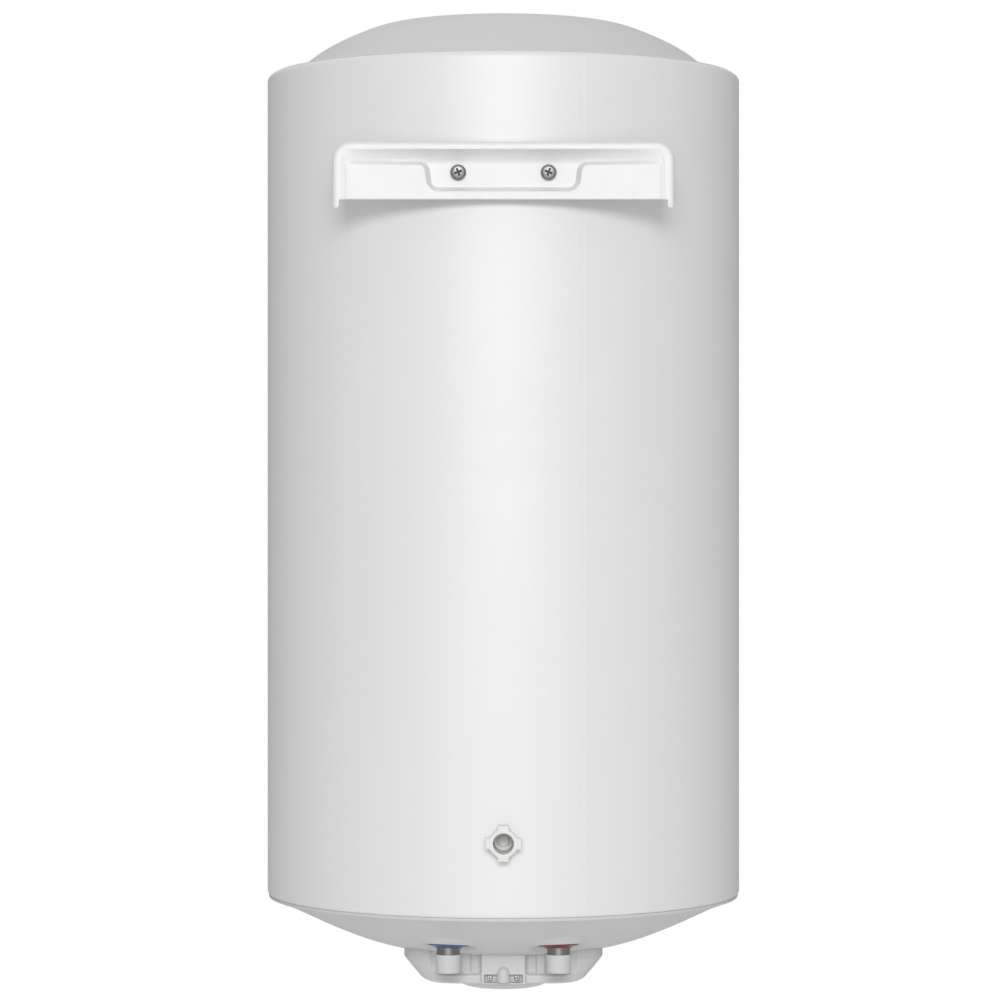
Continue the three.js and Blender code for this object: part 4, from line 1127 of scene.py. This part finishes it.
# Name, colour, and first and last share of the sweep.
BANDS = (
    ("cool", "blue_plastic", 0.0, 0.34),
    ("warm", "green_insulation", 0.35, 0.72),
    ("hot", "red_plastic", 0.73, 1.0),
)
ticks, tick_faces = [], []
for k in range(TICKS + 1):
    at = START + SWEEP * k / TICKS
    inner_end, width = (20.4, 0.014) if k % 4 == 0 else (21.8, 0.008)
    dial_strip(ticks, tick_faces, inner_end, 23.6, at - width, at + width, 0.12, 1)
piece(outward(drawn("gauge_ticks", ticks, tick_faces, smooth=False)), "black_plastic")
for name, slot, first, last in BANDS:
    band, band_faces = [], []
    dial_strip(band, band_faces, 24.1, 25.3, START + SWEEP * first, START + SWEEP * last, 0.1, 40)
    piece(outward(drawn(f"gauge_band_{name}", band, band_faces)), slot)


def dial_text(name, words, size, x, z):
    """Raised figures on the dial, read from the front."""
    curve = bpy.data.curves.new(name, "FONT")
    curve.body = words
    curve.size = size * MM
    curve.extrude = 0.05 * MM
    curve.align_x = "CENTER"
    curve.align_y = "CENTER"
    source = added(name + "_text", curve)
    bpy.context.view_layer.update()
    mesh = bpy.data.meshes.new_from_object(source.evaluated_get(bpy.context.evaluated_depsgraph_get()))
    bpy.data.objects.remove(source)
    place = Matrix.Translation(row((x, -CASING_RADIUS + 4.92, dial_at[2] + z)))
    mesh.transform(place @ Matrix.Rotation(math.pi / 2, 4, "X"))
    piece(added(name, mesh), "black_plastic")


for k, number in enumerate(("0", "20", "40", "60", "80")):
    at = START + SWEEP * k / 4
    dial_text(f"gauge_number_{number}", number, 5.0, 16.2 * math.cos(at), 16.2 * math.sin(at))
dial_text("gauge_unit", "°C", 4.2, 0, -13.5)

# ---- needle and inner parts
INNER_FINISHES = {
    "red_plastic": ["thermometer_needle", "cutout_button"],
    "white_plastic": ["thermostat_spindle", "inlet_diffuser", "terminal_block"],
    "black_plastic": ["thermostat_body"],
    "enamel_steel": ["inner_tank"],
    "bare_steel": ["tank_hanger", "hot_outlet_tube", "flange_collar", "sensor_rod"],
    "zinc_steel": ["flange_plate", "anode_nut", "earth_screw", *(f"flange_bolt_{k}" for k in range(1, 7))],
    "rubber": ["flange_gasket"],
    "copper": ["heating_element", "thermowell"],
    "magnesium": ["anode_rod"],
    "brown_insulation": ["wire_live", "element_wire_live"],
    "blue_plastic": ["wire_neutral", "element_wire_neutral"],
    "green_insulation": ["wire_earth"],
}
for node, slot in [(node, slot) for slot, nodes in INNER_FINISHES.items() for node in nodes]:
    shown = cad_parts[node]
    shown.data.materials.clear()
    shown.data.materials.append(materials[slot])
    bevel = shown.modifiers.new("edges", "BEVEL")
    bevel.width = 0.25 * MM
    bevel.segments = 2
    bevel.limit_method = "ANGLE"
    bevel.angle_limit = math.radians(40)

# The blown foam fills the gap between tank and casing. Its skin is slightly lumpy, and it stops short of the
# seats pressed into the bottom cover.
UNDER_GAP = 8.0
SKIN_GAP = 0.25
LUMP = 0.2
foam = added("blown_foam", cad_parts["foam_insulation"].data.copy())
with edited(foam.data) as work:
    long_edges = [edge for edge in work.edges if edge.calc_length() > 30 * MM]
    bmesh.ops.subdivide_edges(work, edges=long_edges, cuts=1, use_grid_fill=True)
    bmesh.ops.recalc_face_normals(work, faces=work.faces)
    for vertex in work.verts:
        x, y, z = vertex.co
        lump = math.sin(61 * x + 17 * z) * math.sin(53 * y - 11 * z) * math.sin(47 * z + 5)
        vertex.co -= vertex.normal * (SKIN_GAP + LUMP * lump) * MM
        reach = math.hypot(x - DATUM[0], y - DATUM[1]) / MM
        if (z - DATUM[2]) / MM < dome_height(reach) + 7:
            vertex.co.z += UNDER_GAP * MM
piece(foam, "foam", "foam_insulation")

# ---- studio
FLOOR_DROP = 1.15  # metres of clear air under the heater
FLOOR_RADIUS = 3.2
AIM = (0, DATUM[1], -0.25)
# Name, place, width, height, watts, and whether shiny faces mirror it.
LIGHTS = (
    ("key", (0, 7.0, 2.15), 3.0, 1.7, 228, True),
    ("camera_fill", (0, 6.4, -0.70), 5.0, 5.0, 87, True),
    ("overhead", (0.4, -2.6, 3.2), 2.4, 2.0, 64, False),
    ("front_fill", (-0.5, -5.0, 0.3), 2.4, 2.0, 62, False),
)


def make_world():
    """White to the camera; to the heater dim below, bright above and a little brighter at the sides."""
    world = bpy.data.worlds.new("studio")
    bpy.context.scene.world = world
    world.use_nodes = True
    n = Nodes(world.node_tree)
    seen = n.add("LightPath", output="Is Camera Ray")
    toward = n.add("TexCoord", output="Generated")
    up = n.add("SeparateXYZ", {"Vector": toward}, output="Z")
    side = n.add("SeparateXYZ", {"Vector": toward}, output="X")
    sides = n.math("MULTIPLY", n.math("MULTIPLY", side, side), 0.15)
    strength = n.math("ADD", n.span(up, 0.30, 0.55, 0.1, 0.9), sides)
    soft = n.add("Background", {"Color": (1, 1, 1, 1), "Strength": strength})
    plain = n.add("Background", {"Color": (1, 1, 1, 1), "Strength": 1.0})
    n.add("OutputWorld", {"Surface": n.add("MixShader", {0: seen, 1: soft, 2: plain})})


def make_light(name, at, width, height, power, mirrored):
    light = bpy.data.lights.new(name, "AREA")
    light.shape = "RECTANGLE"
    light.size, light.size_y = width, height
    light.energy = power
    made = added(name, light)
    made.location = at
    made.rotation_euler = (Vector(AIM) - Vector(at)).to_track_quat("-Z", "Y").to_euler()
    made.visible_glossy = mirrored


def make_floor():
    """A disc of pale paper that fades out towards its edge and is clear from below."""
    disc = bpy.data.meshes.new("studio_floor")
    with edited(disc) as work:
        bmesh.ops.create_circle(work, cap_ends=True, radius=FLOOR_RADIUS, segments=96)
    floor = added("studio_floor", disc)
    floor.location = (0, DATUM[1], cad_box[0].z - FLOOR_DROP)
    paper = bpy.data.materials.new("floor_paper")
    paper.use_nodes = True
    n = Nodes(paper.node_tree)
    at = n.add("TexCoord", output="Object")
    away = n.add("VectorMath", {0: at}, output="Value", operation="LENGTH")
    tone = n.mix(n.span(n.noise(at, 3.0), 0, 1), (0.86, 0.86, 0.86, 1), (0.89, 0.89, 0.89, 1))
    bump = n.add("Bump", {"Height": n.noise(at, 400.0), "Distance": 0.2 * MM})
    matte = n.add("BsdfPrincipled", {"Base Color": tone, "Roughness": 0.9, "Normal": bump})
    behind = n.add("NewGeometry", output="Backfacing")
    clear = n.math("MAXIMUM", n.span(away, 0, 1, 1.4, 3.1), behind)
    nothing = n.add("BsdfTransparent")
    surface = n.add("MixShader", {0: clear, 1: matte, 2: nothing})
    n.add("OutputMaterial", {"Surface": surface})
    disc.materials.append(paper)


make_world()
for light in LIGHTS:
    make_light(*light)
make_floor()
bpy.context.scene.view_settings.view_transform = "Standard"
